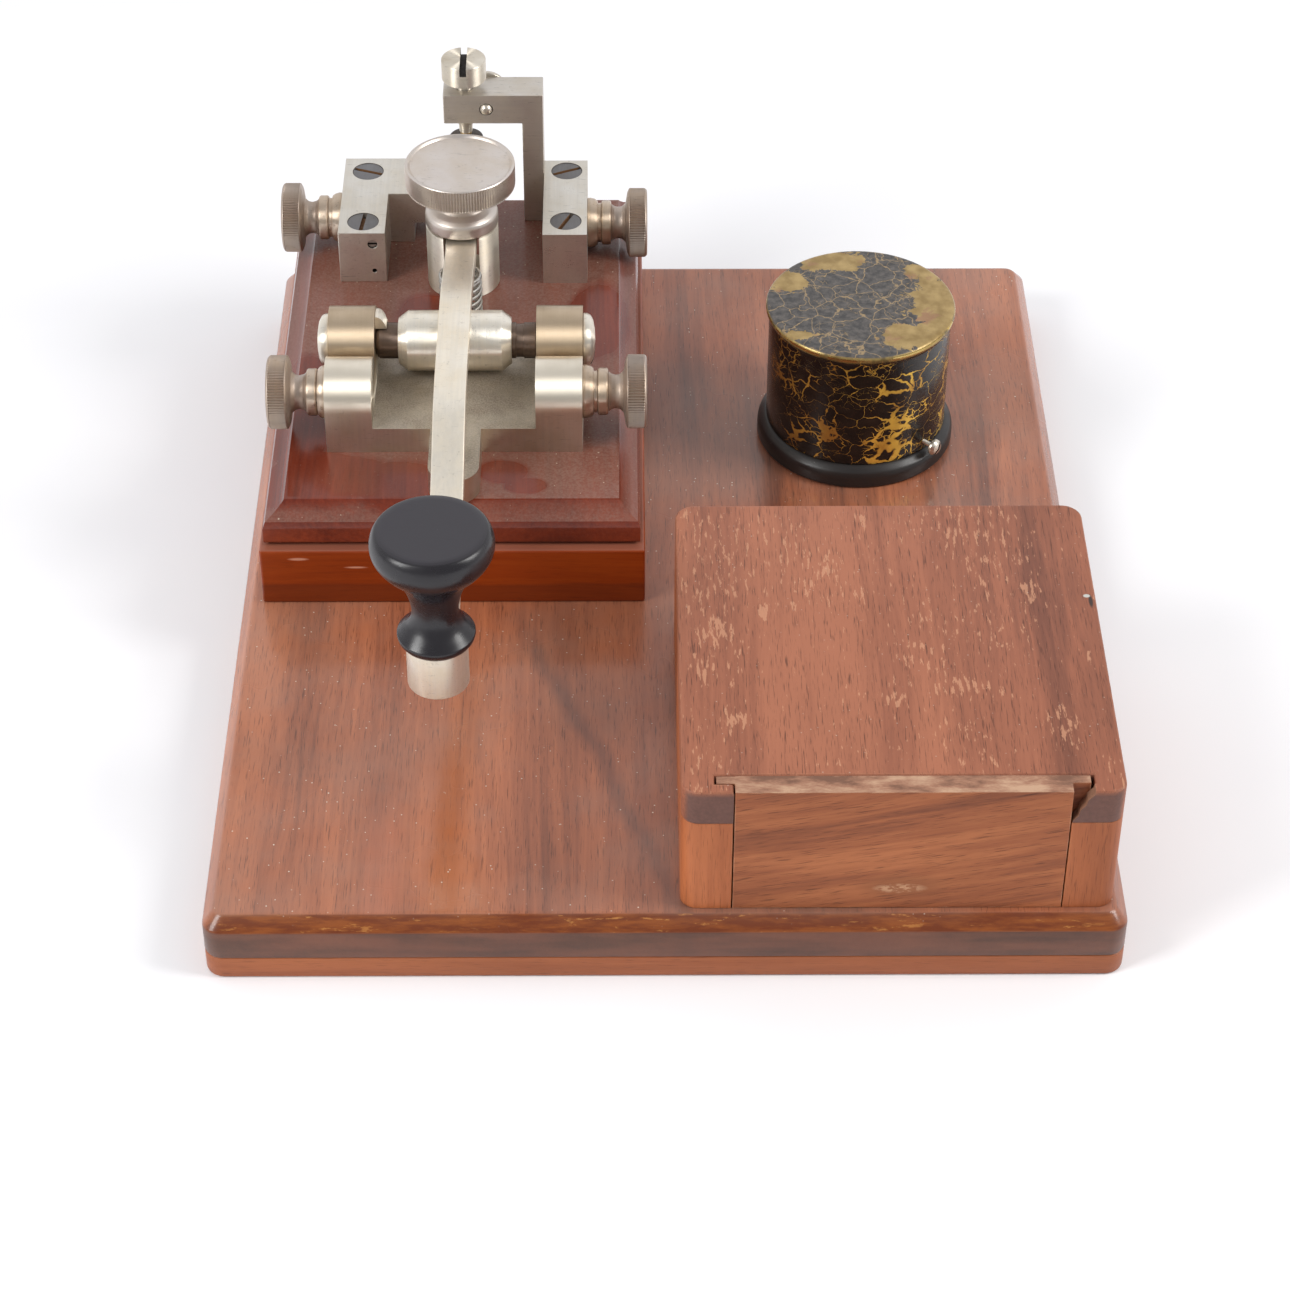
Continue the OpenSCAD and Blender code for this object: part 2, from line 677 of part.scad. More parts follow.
module tension_knob() {
  flutes = 96;
  color([0.66, 0.61, 0.56]) difference() {
    translate([key_x, barrel_y, 0]) rotate_extrude() polygon([[0, 83], [13.6, 83], [13.9, 83.7],
      [14.4, 83.7], [14.8, 83.3], [14.8, 77.2], [14.4, 76.8], [6.6, 76.3], [5.8, 75.4], [5.6, 73.6],
      [6, 72], [7, 70.8], [8.6, 69.9], [9.6, 69.1], [9.9, 68.2], [9.9, 65.6], [9.5, 65.05],
      [5.3, 65.05], [5.3, 70.2], [stud_r, 70.2], [stud_r, 81], [0, 81]]);
    for (i = [0:flutes - 1]) translate([key_x, barrel_y, 80.2]) rotate([0, 0, i * 360 / flutes])
      translate([15, 0, 0]) rotate([0, 0, 45]) cube([0.6, 0.6, 5.4], center = true);
  }
}

module stop_tip() {
  color([0.8, 0.78, 0.74]) zcyl(stop_z, stop_z + 0.7, stop_x, stop_y, 1.6);
}

module stop_screw() {
  color([0.82, 0.81, 0.77]) difference() {
    translate([stop_x, stop_y, 0]) rotate_extrude() polygon([[0, stop_z + 0.72], [1.8, stop_z + 0.72],
      [1.9, 74.6], [stop_r, 76.4], [stop_r, 89.4], [5.9, 89.4], [6.1, 89.6], [6.1, 95.3], [5.9, 95.5],
      [0, 95.5]]);
    translate([stop_x, stop_y, 95.5]) cube([1.8, 14, 4.6], center = true);
  }
}

module clamp_screw() {
  color([0.76, 0.74, 0.7]) difference() {
    translate([clamp_x, 0, clamp_z]) rotate([-90, 0, 0]) rotate_extrude() polygon([[0, neck_y0 - 1.2],
      [1, neck_y0 - 1], [1.6, neck_y0 - 0.3], [1.72, neck_y0 + 0.2], [1.72, neck_y1],
      [5.4, neck_y1 + 0.02], [5.6, neck_y1 + 0.6], [5.2, neck_y1 + 1.9], [3.6, neck_y1 + 2.7],
      [0, neck_y1 + 3]]);
    translate([clamp_x, neck_y1 + 3, clamp_z]) rotate([0, -25, 0]) cube([14, 2.6, 1.2], center = true);
  }
}

module buzzer_base() {
  color([0.09, 0.08, 0.08]) translate([bz_x, bz_y, 0]) rotate_extrude() polygon([[0, bt],
    [bz_base_r - 0.6, bt], [bz_base_r, bt + 0.6], [bz_base_r, bt + 3.6], [bz_base_r - 0.5, bt + 4.8],
    [bz_base_r - 1.6, bt + 5.8], [cap_r + 0.1, base_z1], [cap_r - cap_wall - 0.3, base_z1],
    [cap_r - cap_wall - 0.3, base_z1 + 4], [cap_r - cap_wall - 1, base_z1 + 4.6], [0, base_z1 + 4.6]]);
}

module buzzer_frame() {
  color([0.35, 0.34, 0.33]) {
    block(bz_x - 16, bz_x + 16, bz_y - 5, bz_y + 5, deck, deck + 2);
    block(bz_x - 17.6, bz_x - 16, bz_y - 5, bz_y + 5, deck, deck + 20.2);
    for (x = core_x) zcyl(deck, deck + 17, x, bz_y, 3);
  }
}

module buzzer_coils() {
  color([0.2, 0.42, 0.24]) for (x = core_x) translate([x, bz_y, 0]) rotate_extrude() polygon([
    [3.02, deck + 2.05], [7.8, deck + 2.05], [7.8, deck + 3], [7, deck + 3], [7, deck + 14.4], [7.8, deck + 14.4],
    [7.8, deck + 15.4], [3.02, deck + 15.4]]);
}

module buzzer_reed() {
  color([0.5, 0.49, 0.47]) {
    block(reed_x, bz_x + 14.6, bz_y - 4, bz_y + 4, deck + 18, deck + 20);
    ycyl(bz_y - 4, bz_y + 4, reed_x, deck + 19, 1.5);
  }
}

module buzzer_contact() {
  color([0.72, 0.6, 0.36]) {
    block(bz_x + 16.6, bz_x + 18.6, bz_y - 4, bz_y + 4, deck, deck + 24.2);
    block(bz_x + 8, bz_x + 17, bz_y - 4, bz_y + 4, deck + 22.4, deck + 24.2);
    zcyl(deck + 20.5, deck + 23, bz_x + 11, bz_y, 1.1);
  }
}

module buzzer_cap() {
  ri = cap_r - cap_wall;
  color([0.12, 0.1, 0.09]) difference() {
    translate([bz_x, bz_y, 0]) rotate_extrude() polygon([[0, cap_z1], [cap_rim_r - 1.2, cap_z1],
      [cap_rim_r - 0.4, cap_z1 - 0.3], [cap_rim_r, cap_z1 - 1], [cap_rim_r - 0.1, cap_z1 - 1.8],
      [cap_r + 0.1, cap_z1 - 3], [cap_r, cap_z1 - 3.6], [cap_r, base_z1 + 0.05], [ri, base_z1 + 0.05],
      [ri, cap_z1 - cap_wall], [0, cap_z1 - cap_wall]]);
    translate([bz_x, bz_y, cap_screw_z]) rotate([0, 0, cap_screw_a]) rotate([0, 90, 0])
      translate([0, 0, ri - 2]) cylinder(h = 4, r = 0.75);
  }
}

module cap_screw() {
  color([0.82, 0.8, 0.74]) difference() {
    translate([bz_x, bz_y, cap_screw_z]) rotate([0, 0, cap_screw_a]) rotate([0, 90, 0]) rotate_extrude()
      polygon([[0, cap_r - cap_wall - 0.2], [0.7, cap_r - cap_wall - 0.2], [0.7, 27.4], [2.2, 27.4],
        [2.2, 28.2], [1.6, 29], [0, 29.4]]);
    translate([bz_x, bz_y, cap_screw_z]) rotate([0, 0, cap_screw_a]) translate([29.2, 0, 0])
      rotate([50, 0, 0]) cube([1, 5, 0.6], center = true);
  }
}

// outline of the box with round upright corners, as a band of heights
module box_outline(z0, z1) {
  round_plate(bx0, bx1, by0, by1, z0, z1, box_r);
}

// space the door and its tongues slide in
module door_way(z0, z1) {
  block(door_x0 - slide_c, door_x1 + slide_c, by0 - 1, by0 + door_t + slide_c, z0, z1);
  block(door_x0 - door_ear - slide_c, door_x1 + door_ear + slide_c + 0.6, ear_y0 - slide_c,
    by0 + door_t + slide_c, z0, z1);
}

module box_top_board() {
  color([0.6, 0.33, 0.22]) difference() {
    box_outline(deck_z, box_z1);
    door_way(deck_z - 1, box_z1 + 1);
    translate([0, by0 - 1, 0]) rotate([-90, 0, 0]) linear_extrude(4.6) polygon([[door_x1 - 0.1, -deck_z + 1],
      [door_x1 - 0.1, -(deck_z + 0.4)], [door_x1 + 4.6, -(box_z1 - 1.2)], [door_x1 + 4.6, -(box_z1 + 1)],
      [door_x1 - 1, -(box_z1 + 1)]]);
  }
}

module box_left_board() {
  color([0.64, 0.36, 0.22]) difference() {
    intersection() {
      box_outline(bt, deck_z);
      block(bx0 - 1, bx0 + box_side, by0 - 1, by1 + 1, bt, deck_z);
    }
    door_way(bt - 1, deck_z + 1);
    box_screw_holes();
  }
}

module box_right_board() {
  color([0.64, 0.36, 0.22]) difference() {
    intersection() {
      box_outline(bt, deck_z);
      block(bx1 - box_side, bx1 + 1, by0 - 1, by1 + 1, bt, deck_z);
    }
    door_way(bt - 1, deck_z + 1);
    box_screw_holes();
  }
}

module box_screw_holes() {
  for (p = box_screw_points) zcyl(bt - 1, bt + 14, p[0], p[1], shank_r);
}

module box_back_board() {
  color([0.62, 0.34, 0.22]) block(bx0 + box_side, bx1 - box_side, by1 - 9, by1, bt, deck_z);
}

module box_door() {
  color([0.66, 0.38, 0.24]) {
    block(door_x0, door_x1, by0, by0 + door_t, bt + 0.2, box_z1);
    block(door_x0 - door_ear, door_x1 + door_ear, ear_y0, ear_y0 + ear_t, bt + 0.2, box_z1);
  }
}

// two bent contact strips on the back board
module box_contacts() {
  color([0.75, 0.6, 0.3]) for (x = strip_x) {
    block(x - 4, x + 4, by1 - 9.8, by1 - 9, bt + 4, deck_z - 3);
    along_x(x - 4, x + 4) polygon([[by1 - 9.7, deck_z - 3], [by1 - 9.7, deck_z - 4.2],
      [by1 - 16.6, deck_z - 12.4], [by1 - 12.2, bt + 5], [by1 - 13, bt + 4.8],
      [by1 - 17.6, deck_z - 12.4]]);
  }
}

// flat battery with its two springy strips
module battery() {
  color([0.3, 0.34, 0.42]) difference() {
    block(mid_x - 31, mid_x + 31, by1 - 85.6, by1 - 18.2, bt + 0.05, bt + 22);
    block(mid_x - 32, mid_x + 32, by1 - 19.4, by1 - 18, bt + 20.6, bt + 23);
  }
}

module battery_strips() {
  color([0.78, 0.68, 0.4]) for (x = strip_x) {
    block(x - 3, x + 3, by1 - 18.2, by1 - 17.62, bt + 10.4, bt + 19);
  }
}

module box_screws() {
  color([0.45, 0.44, 0.42]) for (p = box_screw_points) difference() {
    union() {
      translate([p[0], p[1], 0.3]) cylinder(h = 3, r1 = 4, r2 = shank_r - 0.1);
      zcyl(1, bt + 13, p[0], p[1], shank_r - 0.1);
    }
    translate([p[0], p[1], 0]) rotate([0, 0, -20]) cube([10, 1, 2.2], center = true);
  }
}

board_lower();
board_upper();
key_base_block();
key_base_moulding();
trunnion_frame();
front_anvil();
axle_lock_ring();
bearing_screw_left();
bearing_screw_right();
anvil_block();
rear_anvil();
gooseneck_block();
gooseneck_arm();
block_screws();
grub_screws();
spring_barrel();
tension_stud();
terminal_studs();
key_hold_screws();
lever();
hub();
axle();
knob();
knob_ferrule();
knob_screw();
rear_contact();
pull_spring();
spring_cup();
tension_spring();
tension_knob();
stop_tip();
stop_screw();
clamp_screw();
washer_front_left();
nut_front_left();
washer_front_right();
nut_front_right();
washer_rear_left();
nut_rear_left();
washer_rear_right();
nut_rear_right();
buzzer_base();
buzzer_frame();
buzzer_coils();
buzzer_reed();
buzzer_contact();
buzzer_cap();
cap_screw();
box_top_board();
box_left_board();
box_right_board();
box_back_board();
box_door();
box_contacts();
box_screws();
battery();
battery_strips();
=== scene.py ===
import math
import bpy
import bmesh
from mathutils import Matrix, Vector


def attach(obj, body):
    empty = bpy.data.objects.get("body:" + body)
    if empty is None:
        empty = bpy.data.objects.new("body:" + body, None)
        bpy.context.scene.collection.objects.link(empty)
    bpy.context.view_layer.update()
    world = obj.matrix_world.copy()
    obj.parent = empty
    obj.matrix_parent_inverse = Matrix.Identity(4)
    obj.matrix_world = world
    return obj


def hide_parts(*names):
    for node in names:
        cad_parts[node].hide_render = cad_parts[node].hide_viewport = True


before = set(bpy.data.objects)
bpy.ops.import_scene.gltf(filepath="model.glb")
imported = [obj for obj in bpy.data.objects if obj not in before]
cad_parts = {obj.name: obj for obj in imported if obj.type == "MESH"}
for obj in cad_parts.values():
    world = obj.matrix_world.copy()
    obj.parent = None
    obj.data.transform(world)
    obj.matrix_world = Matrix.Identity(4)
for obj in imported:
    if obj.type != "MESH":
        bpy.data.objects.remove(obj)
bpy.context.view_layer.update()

# metres in a millimetre; sizes below are in millimetres
MM = 0.001
# centre line of the key along X
KX = -53.0
# top face of the key's wooden base
WT = 46.0
# every visible piece, in the order made
PIECES = []

# ---------------------------------------------------------------- mesh helpers


def fillet(pts, rad, seg=3, closed=False):
    """Rounds the corners of a 2-D path. Corners sharper than a few degrees only."""
    out = []
    n = len(pts)
    for i, p in enumerate(pts):
        if not closed and i in (0, n - 1):
            out.append(p)
            continue
        a, b = pts[i - 1], pts[(i + 1) % n]
        u = Vector((a[0] - p[0], a[1] - p[1]))
        v = Vector((b[0] - p[0], b[1] - p[1]))
        if u.length < 1e-6 or v.length < 1e-6 or abs(u.angle(v) - math.pi) < 0.12:
            out.append(p)
            continue
        d = min(rad, 0.45 * u.length, 0.45 * v.length)
        s = Vector(p) + u.normalized() * d
        t = Vector(p) + v.normalized() * d
        for k in range(seg + 1):
            q = k / seg
            w = s * (1 - q) ** 2 + Vector(p) * 2 * q * (1 - q) + t * q * q
            out.append((w.x, w.y))
    return out


def smooth_path(p, n):
    """Catmull-Rom curve through the points, n steps a span."""
    out = []

    def at(i):
        return p[max(0, min(len(p) - 1, i))]
    for i in range(len(p) - 1):
        p0, p1, p2, p3 = at(i - 1), p[i], p[i + 1], at(i + 2)
        for k in range(n):
            t = k / n
            out.append(tuple(0.5 * (2 * p1[j] + (p2[j] - p0[j]) * t
                    + (2 * p0[j] - 5 * p1[j] + 4 * p2[j] - p3[j]) * t * t
                    + (3 * p1[j] - p0[j] - 3 * p2[j] + p3[j]) * t ** 3) for j in range(2)))
    out.append(p[-1])
    return out


def finish_mesh(name, verts, faces, mat, body, nodes=(), angle=32):
    """One piece from points in millimetres, with its body and the nodes that it stands for."""
    me = bpy.data.meshes.new(name)
    me.from_pydata([tuple(c * MM for c in v) for v in verts], [], faces)
    bm = bmesh.new()
    bm.from_mesh(me)
    bmesh.ops.recalc_face_normals(bm, faces=bm.faces)
    bm.to_mesh(me)
    bm.free()
    o = bpy.data.objects.new(name, me)
    bpy.context.scene.collection.objects.link(o)
    me.materials.append(mat)
    shade(o, angle)
    if nodes:
        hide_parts(*nodes)
    o["body"] = body
    PIECES.append(o)
    return o


def shade(o, angle=32):
    """Smooth shading with creases sharper than the angle kept."""
    o.data.shade_smooth()
    o.data.set_sharp_from_angle(angle=math.radians(angle))


def bevel(o, width, seg=3, angle=32):
    """Rounds the edges sharper than the angle."""
    m = o.modifiers.new("bevel", "BEVEL")
    m.width = width * MM
    m.segments = seg
    m.limit_method = "ANGLE"
    m.angle_limit = math.radians(angle)
    m.harden_normals = True
    m.use_clamp_overlap = True
    return o


def bake(o, angle=None):
    """Turns the modifiers into mesh."""
    dg = bpy.context.evaluated_depsgraph_get()
    dg.update()
    me = bpy.data.meshes.new_from_object(o.evaluated_get(dg), preserve_all_data_layers=True, depsgraph=dg)
    o.modifiers.clear()
    o.data = me
    if angle:
        shade(o, angle)
    return o


def cut(o, cutter, angle=32, op="DIFFERENCE"):
    """Takes the cutter's solid out of o, or joins it on, for good. Cut faces take the cutter's material."""
    m = o.modifiers.new("cut", "BOOLEAN")
    m.operation = op
    m.solver = "EXACT"
    m.material_mode = "TRANSFER"
    m.object = cutter
    bake(o, angle)
    if cutter in PIECES:
        PIECES.remove(cutter)
    bpy.data.objects.remove(cutter)
    return o


def place(pts3, axis, at):
    """Local (u, v, h) with h along the axis to the row frame."""
    out = []
    for u, v, h in pts3:
        if axis == "z":
            q = (u, v, h)
        elif axis == "x":
            q = (h, u, v)
        elif axis == "-x":
            q = (-h, u, v)
        elif axis == "y":
            q = (v, h, u)
        else:
            d = Vector(axis).normalized()
            s = d.cross(Vector((0, 0, 1))).normalized()
            t = s.cross(d)
            q = tuple(s * u + t * v + d * h)
        out.append(tuple(a + b for a, b in zip(q, at)))
    return out


def lathe(name, prof, at, mat, body, axis="z", n=96, nodes=(), knurl=None, angle=32):
    """Turned piece. prof is (radius, height); knurl(radius, height, turn) gives a new radius."""
    verts, rings = [], []
    for r, h in prof:
        if r < 1e-6:
            verts.append((0, 0, h))
            rings.append([len(verts) - 1] * n)
        else:
            ring = []
            for i in range(n):
                a = 2 * math.pi * i / n
                q = knurl(r, h, i) if knurl else r
                verts.append((q * math.cos(a), q * math.sin(a), h))
                ring.append(len(verts) - 1)
            rings.append(ring)
    faces = []
    for a, b in zip(rings, rings[1:]):
        for i in range(n):
            j = (i + 1) % n
            f = []
            for v in (a[i], a[j], b[j], b[i]):
                if v not in f:
                    f.append(v)
            if len(f) > 2:
                faces.append(f)
    for ring in (rings[0], rings[-1]):
        if len(set(ring)) > 1 and prof[0] != prof[-1]:
            faces.append(list(ring))
    if prof[0] == prof[-1]:
        last = rings[-1]
        faces = [[rings[0][last.index(v)] if v in last else v for v in f] for f in faces]
    return finish_mesh(name, place(verts, axis, at), faces, mat, body, nodes, angle)


def rod(name, r, h0, h1, at, mat, body="board", axis="z", n=48, nodes=(), soft=0):
    """Plain round bar from h0 to h1, its rims rounded by soft; without nodes it is a cutter."""
    prof = [(0, h0), (r, h0), (r, h1), (0, h1)]
    return lathe(name, fillet(prof, soft) if soft else prof, at, mat, body, axis, n, nodes)


def arc(cx, cy, r, start, end, step=6):
    """Points round a centre, from start to end degrees."""
    turns = [math.radians(a) for a in range(start, end, step)]
    return [(cx + r * math.cos(a), cy + r * math.sin(a)) for a in turns]


def slot_cut(o, half, at, turns, mat):
    """Cuts a screwdriver slot of the half sizes given, turned (angle, axis) by turn."""
    x, y, z = half
    s = brick("slot", -x, x, -y, y, -z, z, mat, "board", width=0)
    place_at = Matrix.Translation(Vector(at) * MM)
    for angle, axis in turns:
        place_at = place_at @ Matrix.Rotation(math.radians(angle), 4, axis)
    s.matrix_world = place_at
    cut(o, s)


def prism(name, poly, lo, hi, axis, mat, body, nodes=(), width=0.25, seg=2):
    """Flat outline run along an axis: z takes (x, y), x takes (y, z), y takes (x, z)."""
    n = len(poly)

    def at(p, h):
        return {"z": (p[0], p[1], h), "x": (h, p[0], p[1]), "y": (p[0], h, p[1])}[axis]
    verts = [at(p, lo) for p in poly] + [at(p, hi) for p in poly]
    faces = [list(range(n)), list(range(n, 2 * n))]
    faces += [[i, (i + 1) % n, n + (i + 1) % n, n + i] for i in range(n)]
    o = finish_mesh(name, verts, faces, mat, body, nodes)
    return bevel(o, width, seg) if width else o


def brick(name, x0, x1, y0, y1, z0, z1, mat, body, nodes=(), width=0.3, seg=3):
    """Box between two corners."""
    return prism(name, [(x0, y0), (x1, y0), (x1, y1), (x0, y1)], z0, z1, "z", mat, body, nodes,
            width, seg)


def round_rect(x0, x1, y0, y1, r, seg=8):
    """Rectangle with rounded corners."""
    out = []
    for cx, cy, a0 in ((x1 - r, y0 + r, -90), (x1 - r, y1 - r, 0), (x0 + r, y1 - r, 90),
            (x0 + r, y0 + r, 180)):
        for k in range(seg + 1):
            a = math.radians(a0 + 90 * k / seg)
            out.append((cx + r * math.cos(a), cy + r * math.sin(a)))
    return out


def layers(name, outlines, mat, body, nodes=(), angle=25):
    """Closed skin through a stack of outlines, each (list of (x, y), z)."""
    verts, faces = [], []
    n = len(outlines[0][0])
    for pts, z in outlines:
        verts += [(p[0], p[1], z) for p in pts]
    for k in range(len(outlines) - 1):
        for i in range(n):
            j = (i + 1) % n
            faces.append([k * n + i, k * n + j, (k + 1) * n + j, (k + 1) * n + i])
    faces.append(list(range(n)))
    faces.append([(len(outlines) - 1) * n + i for i in range(n)])
    return finish_mesh(name, verts, faces, mat, body, nodes, angle)


def sweep(name, path, section, mat, body, nodes=()):
    """Runs a section (u across, v up) along a 3-D path with an upright frame."""
    verts, faces = [], []
    m = len(section)
    pts = [Vector(p) for p in path]
    for i, p in enumerate(pts):
        d = (pts[min(i + 1, len(pts) - 1)] - pts[max(i - 1, 0)]).normalized()
        side = d.cross(Vector((0, 0, 1))).normalized()
        up = side.cross(d)
        verts += [tuple(p + side * u + up * v) for u, v in section]
    for k in range(len(pts) - 1):
        for i in range(m):
            j = (i + 1) % m
            faces.append([k * m + i, k * m + j, (k + 1) * m + j, (k + 1) * m + i])
    faces += [list(range(m)), [(len(pts) - 1) * m + i for i in range(m)]]
    return finish_mesh(name, verts, faces, mat, body, nodes)


def helix(name, x, y, z0, z1, r, wire, turns, mat, body, nodes=()):
    """Wire coil with closed end turns."""
    steps = 40 * turns
    path = []
    for i in range(steps + 1):
        t = i / steps
        a = 2 * math.pi * turns * t
        rise = min(1, max(0, (t * turns - 0.7) / (turns - 1.4)))
        path.append((x + r * math.cos(a), y + r * math.sin(a), z0 + wire + (z1 - z0 - 2 * wire) * rise))
    section = [(wire * math.cos(math.radians(a)), wire * math.sin(math.radians(a)))
            for a in range(0, 360, 36)]
    return sweep(name, path, section, mat, body, nodes)


def knurled(r, h0, h1, depth, every):
    """Radius function: straight knurl between two heights on the outermost radius."""
    def f(q, h, i):
        if h0 <= h <= h1 and q > r - 0.05:
            return q - depth * abs(2 * (i % every) / every - 1)
        return q
    return f


# ---------------------------------------------------------------- material helpers


class Graph:
    """A node material built from short calls. Lengths inside are millimetres."""

    def __init__(self, name):
        self.mat = bpy.data.materials.new(name)
        self.mat.use_nodes = True
        self.t = self.mat.node_tree
        self.b = self.t.nodes["Principled BSDF"]
        tc = self.t.nodes.new("ShaderNodeTexCoord")
        v = self.t.nodes.new("ShaderNodeVectorMath")
        v.operation = "SCALE"
        v.inputs["Scale"].default_value = 1000
        self.t.links.new(tc.outputs["Object"], v.inputs[0])
        self.p = v.outputs[0]

    def put(self, sock, val):
        if isinstance(val, bpy.types.NodeSocket):
            self.t.links.new(val, sock)
        else:
            sock.default_value = val

    def set(self, **kw):
        names = {"color": "Base Color", "metal": "Metallic", "rough": "Roughness", "normal": "Normal",
                "coat": "Coat Weight", "coat_rough": "Coat Roughness", "spec": "Specular IOR Level",
                "aniso": "Anisotropic"}
        for k, val in kw.items():
            if k == "color" and isinstance(val, tuple) and len(val) == 3:
                val = val + (1,)
            self.put(self.b.inputs[names[k]], val)

    def map(self, scale=(1, 1, 1), loc=(0, 0, 0), rot=(0, 0, 0), vec=None):
        n = self.t.nodes.new("ShaderNodeMapping")
        n.inputs["Scale"].default_value = scale
        n.inputs["Location"].default_value = loc
        n.inputs["Rotation"].default_value = [math.radians(r) for r in rot]
        self.put(n.inputs["Vector"], vec or self.p)
        return n.outputs[0]

    def noise(self, vec=None, scale=1.0, detail=3.0, rough=0.5, color=False):
        n = self.t.nodes.new("ShaderNodeTexNoise")
        self.put(n.inputs["Vector"], vec or self.p)
        n.inputs["Scale"].default_value = scale
        n.inputs["Detail"].default_value = detail
        n.inputs["Roughness"].default_value = rough
        return n.outputs["Color" if color else "Fac"]

    def cells(self, vec=None, scale=1.0, feature="F1", out="Distance"):
        n = self.t.nodes.new("ShaderNodeTexVoronoi")
        n.feature = feature
        self.put(n.inputs["Vector"], vec or self.p)
        n.inputs["Scale"].default_value = scale
        return n.outputs[out]

    def math(self, op, a, b=0.0, clamp=False):
        n = self.t.nodes.new("ShaderNodeMath")
        n.operation = op
        n.use_clamp = clamp
        self.put(n.inputs[0], a)
        self.put(n.inputs[1], b)
        return n.outputs[0]

    def mul(self, a, b, clamp=False):
        return self.math("MULTIPLY", a, b, clamp)

    def add(self, a, b):
        return self.math("ADD", a, b)

    def most(self, a, b):
        return self.math("MAXIMUM", a, b)

    def span(self, v, a, b, c=0.0, d=1.0):
        """v carried from the range a to b on to the range c to d."""
        n = self.t.nodes.new("ShaderNodeMapRange")
        for k, val in zip(("Value", "From Min", "From Max", "To Min", "To Max"), (v, a, b, c, d)):
            self.put(n.inputs[k], val)
        return n.outputs[0]

    def mix(self, f, a, b):
        """Colour a where f is 0 and b where it is 1."""
        n = self.t.nodes.new("ShaderNodeMix")
        n.data_type = "RGBA"
        self.put(n.inputs[0], f)
        self.put(n.inputs[6], a + (1,) if isinstance(a, tuple) and len(a) == 3 else a)
        self.put(n.inputs[7], b + (1,) if isinstance(b, tuple) and len(b) == 3 else b)
        return n.outputs[2]

    def ramp(self, f, *stops):
        n = self.t.nodes.new("ShaderNodeValToRGB")
        r = n.color_ramp
        while len(r.elements) < len(stops):
            r.elements.new(0.5)
        for e, (p, c) in zip(r.elements, stops):
            e.position = p
            e.color = tuple(c) + (1,)
        self.put(n.inputs[0], f)
        return n.outputs[0]

    def axis(self, k, vec=None):
        n = self.t.nodes.new("ShaderNodeSeparateXYZ")
        self.put(n.inputs[0], vec or self.p)
        return n.outputs[k]

    def facing(self, k):
        """One component of the surface normal."""
        return self.axis(k, self.t.nodes.new("ShaderNodeNewGeometry").outputs["Normal"])

    def push(self, by, reach, vec):
        """vec displaced by a colour, up to reach along each axis."""
        n = self.t.nodes.new("ShaderNodeVectorMath")
        n.operation = "MULTIPLY_ADD"
        self.put(n.inputs[0], by)
        n.inputs[1].default_value = (reach, reach, reach)
        self.put(n.inputs[2], vec)
        return n.outputs[0]

    def fog(self, k, detail, a, b, c=0.0, d=1.0, rough=0.5):
        """Noise of scale k, its range a to b carried on to c to d."""
        return self.span(self.noise(scale=k, detail=detail, rough=rough), a, b, c, d)

    def bump(self, h, dist=0.1, strength=1.0):
        n = self.t.nodes.new("ShaderNodeBump")
        n.inputs["Distance"].default_value = dist * MM
        n.inputs["Strength"].default_value = strength
        self.put(n.inputs["Height"], h)
        return n.outputs[0]

    def spot(self, x, y, z, rx, ry, rz, edge=0.3):
        """1 inside a soft ellipsoid, 0 outside."""
        m = self.map((1 / rx, 1 / ry, 1 / rz), (-x / rx, -y / ry, -z / rz))
        n = self.t.nodes.new("ShaderNodeVectorMath")
        n.operation = "LENGTH"
        self.put(n.inputs[0], m)
        return self.span(n.outputs["Value"], 1 - edge, 1 + edge, 1, 0)

    def worn(self, size=0.35):
        """1 on outside edges: the difference between a rounded and the true normal."""
        n = self.t.nodes.new("ShaderNodeBevel")
        n.samples = 4
        n.inputs["Radius"].default_value = size * MM
        g = self.t.nodes.new("ShaderNodeNewGeometry")
        d = self.t.nodes.new("ShaderNodeVectorMath")
        d.operation = "DOT_PRODUCT"
        self.put(d.inputs[0], n.outputs[0])
        self.put(d.inputs[1], g.outputs["Normal"])
        return self.span(d.outputs["Value"], 0.80, 0.99, 1, 0)

    def specks(self, k, size):
        """Sparse small dots, one in some of the cells of scale k, of radius size in cells."""
        d = self.cells(scale=k)
        some = self.span(self.axis(0, self.cells(scale=k, out="Color")), 0.45, 0.55, 0, 1)
        return self.mul(self.span(d, size * 0.7, size, 1, 0), some)


def toned(colour, k):
    """The colour times one number, or times three."""
    ks = k if isinstance(k, tuple) else (k, k, k)
    return tuple(c * f for c, f in zip(colour, ks))


def grain_map(g, along, k, stretch, loc=(0, 0, 0), vec=None):
    """Scale k, stretched along one axis, or ringed round it for an upper-case axis."""
    if along.isupper():
        s = [k / stretch] * 3
        s["XYZ".index(along)] = k
    else:
        s = [k, k, k]
        s["xyz".index(along)] = k / stretch
    return g.map(tuple(s), loc, vec=vec)


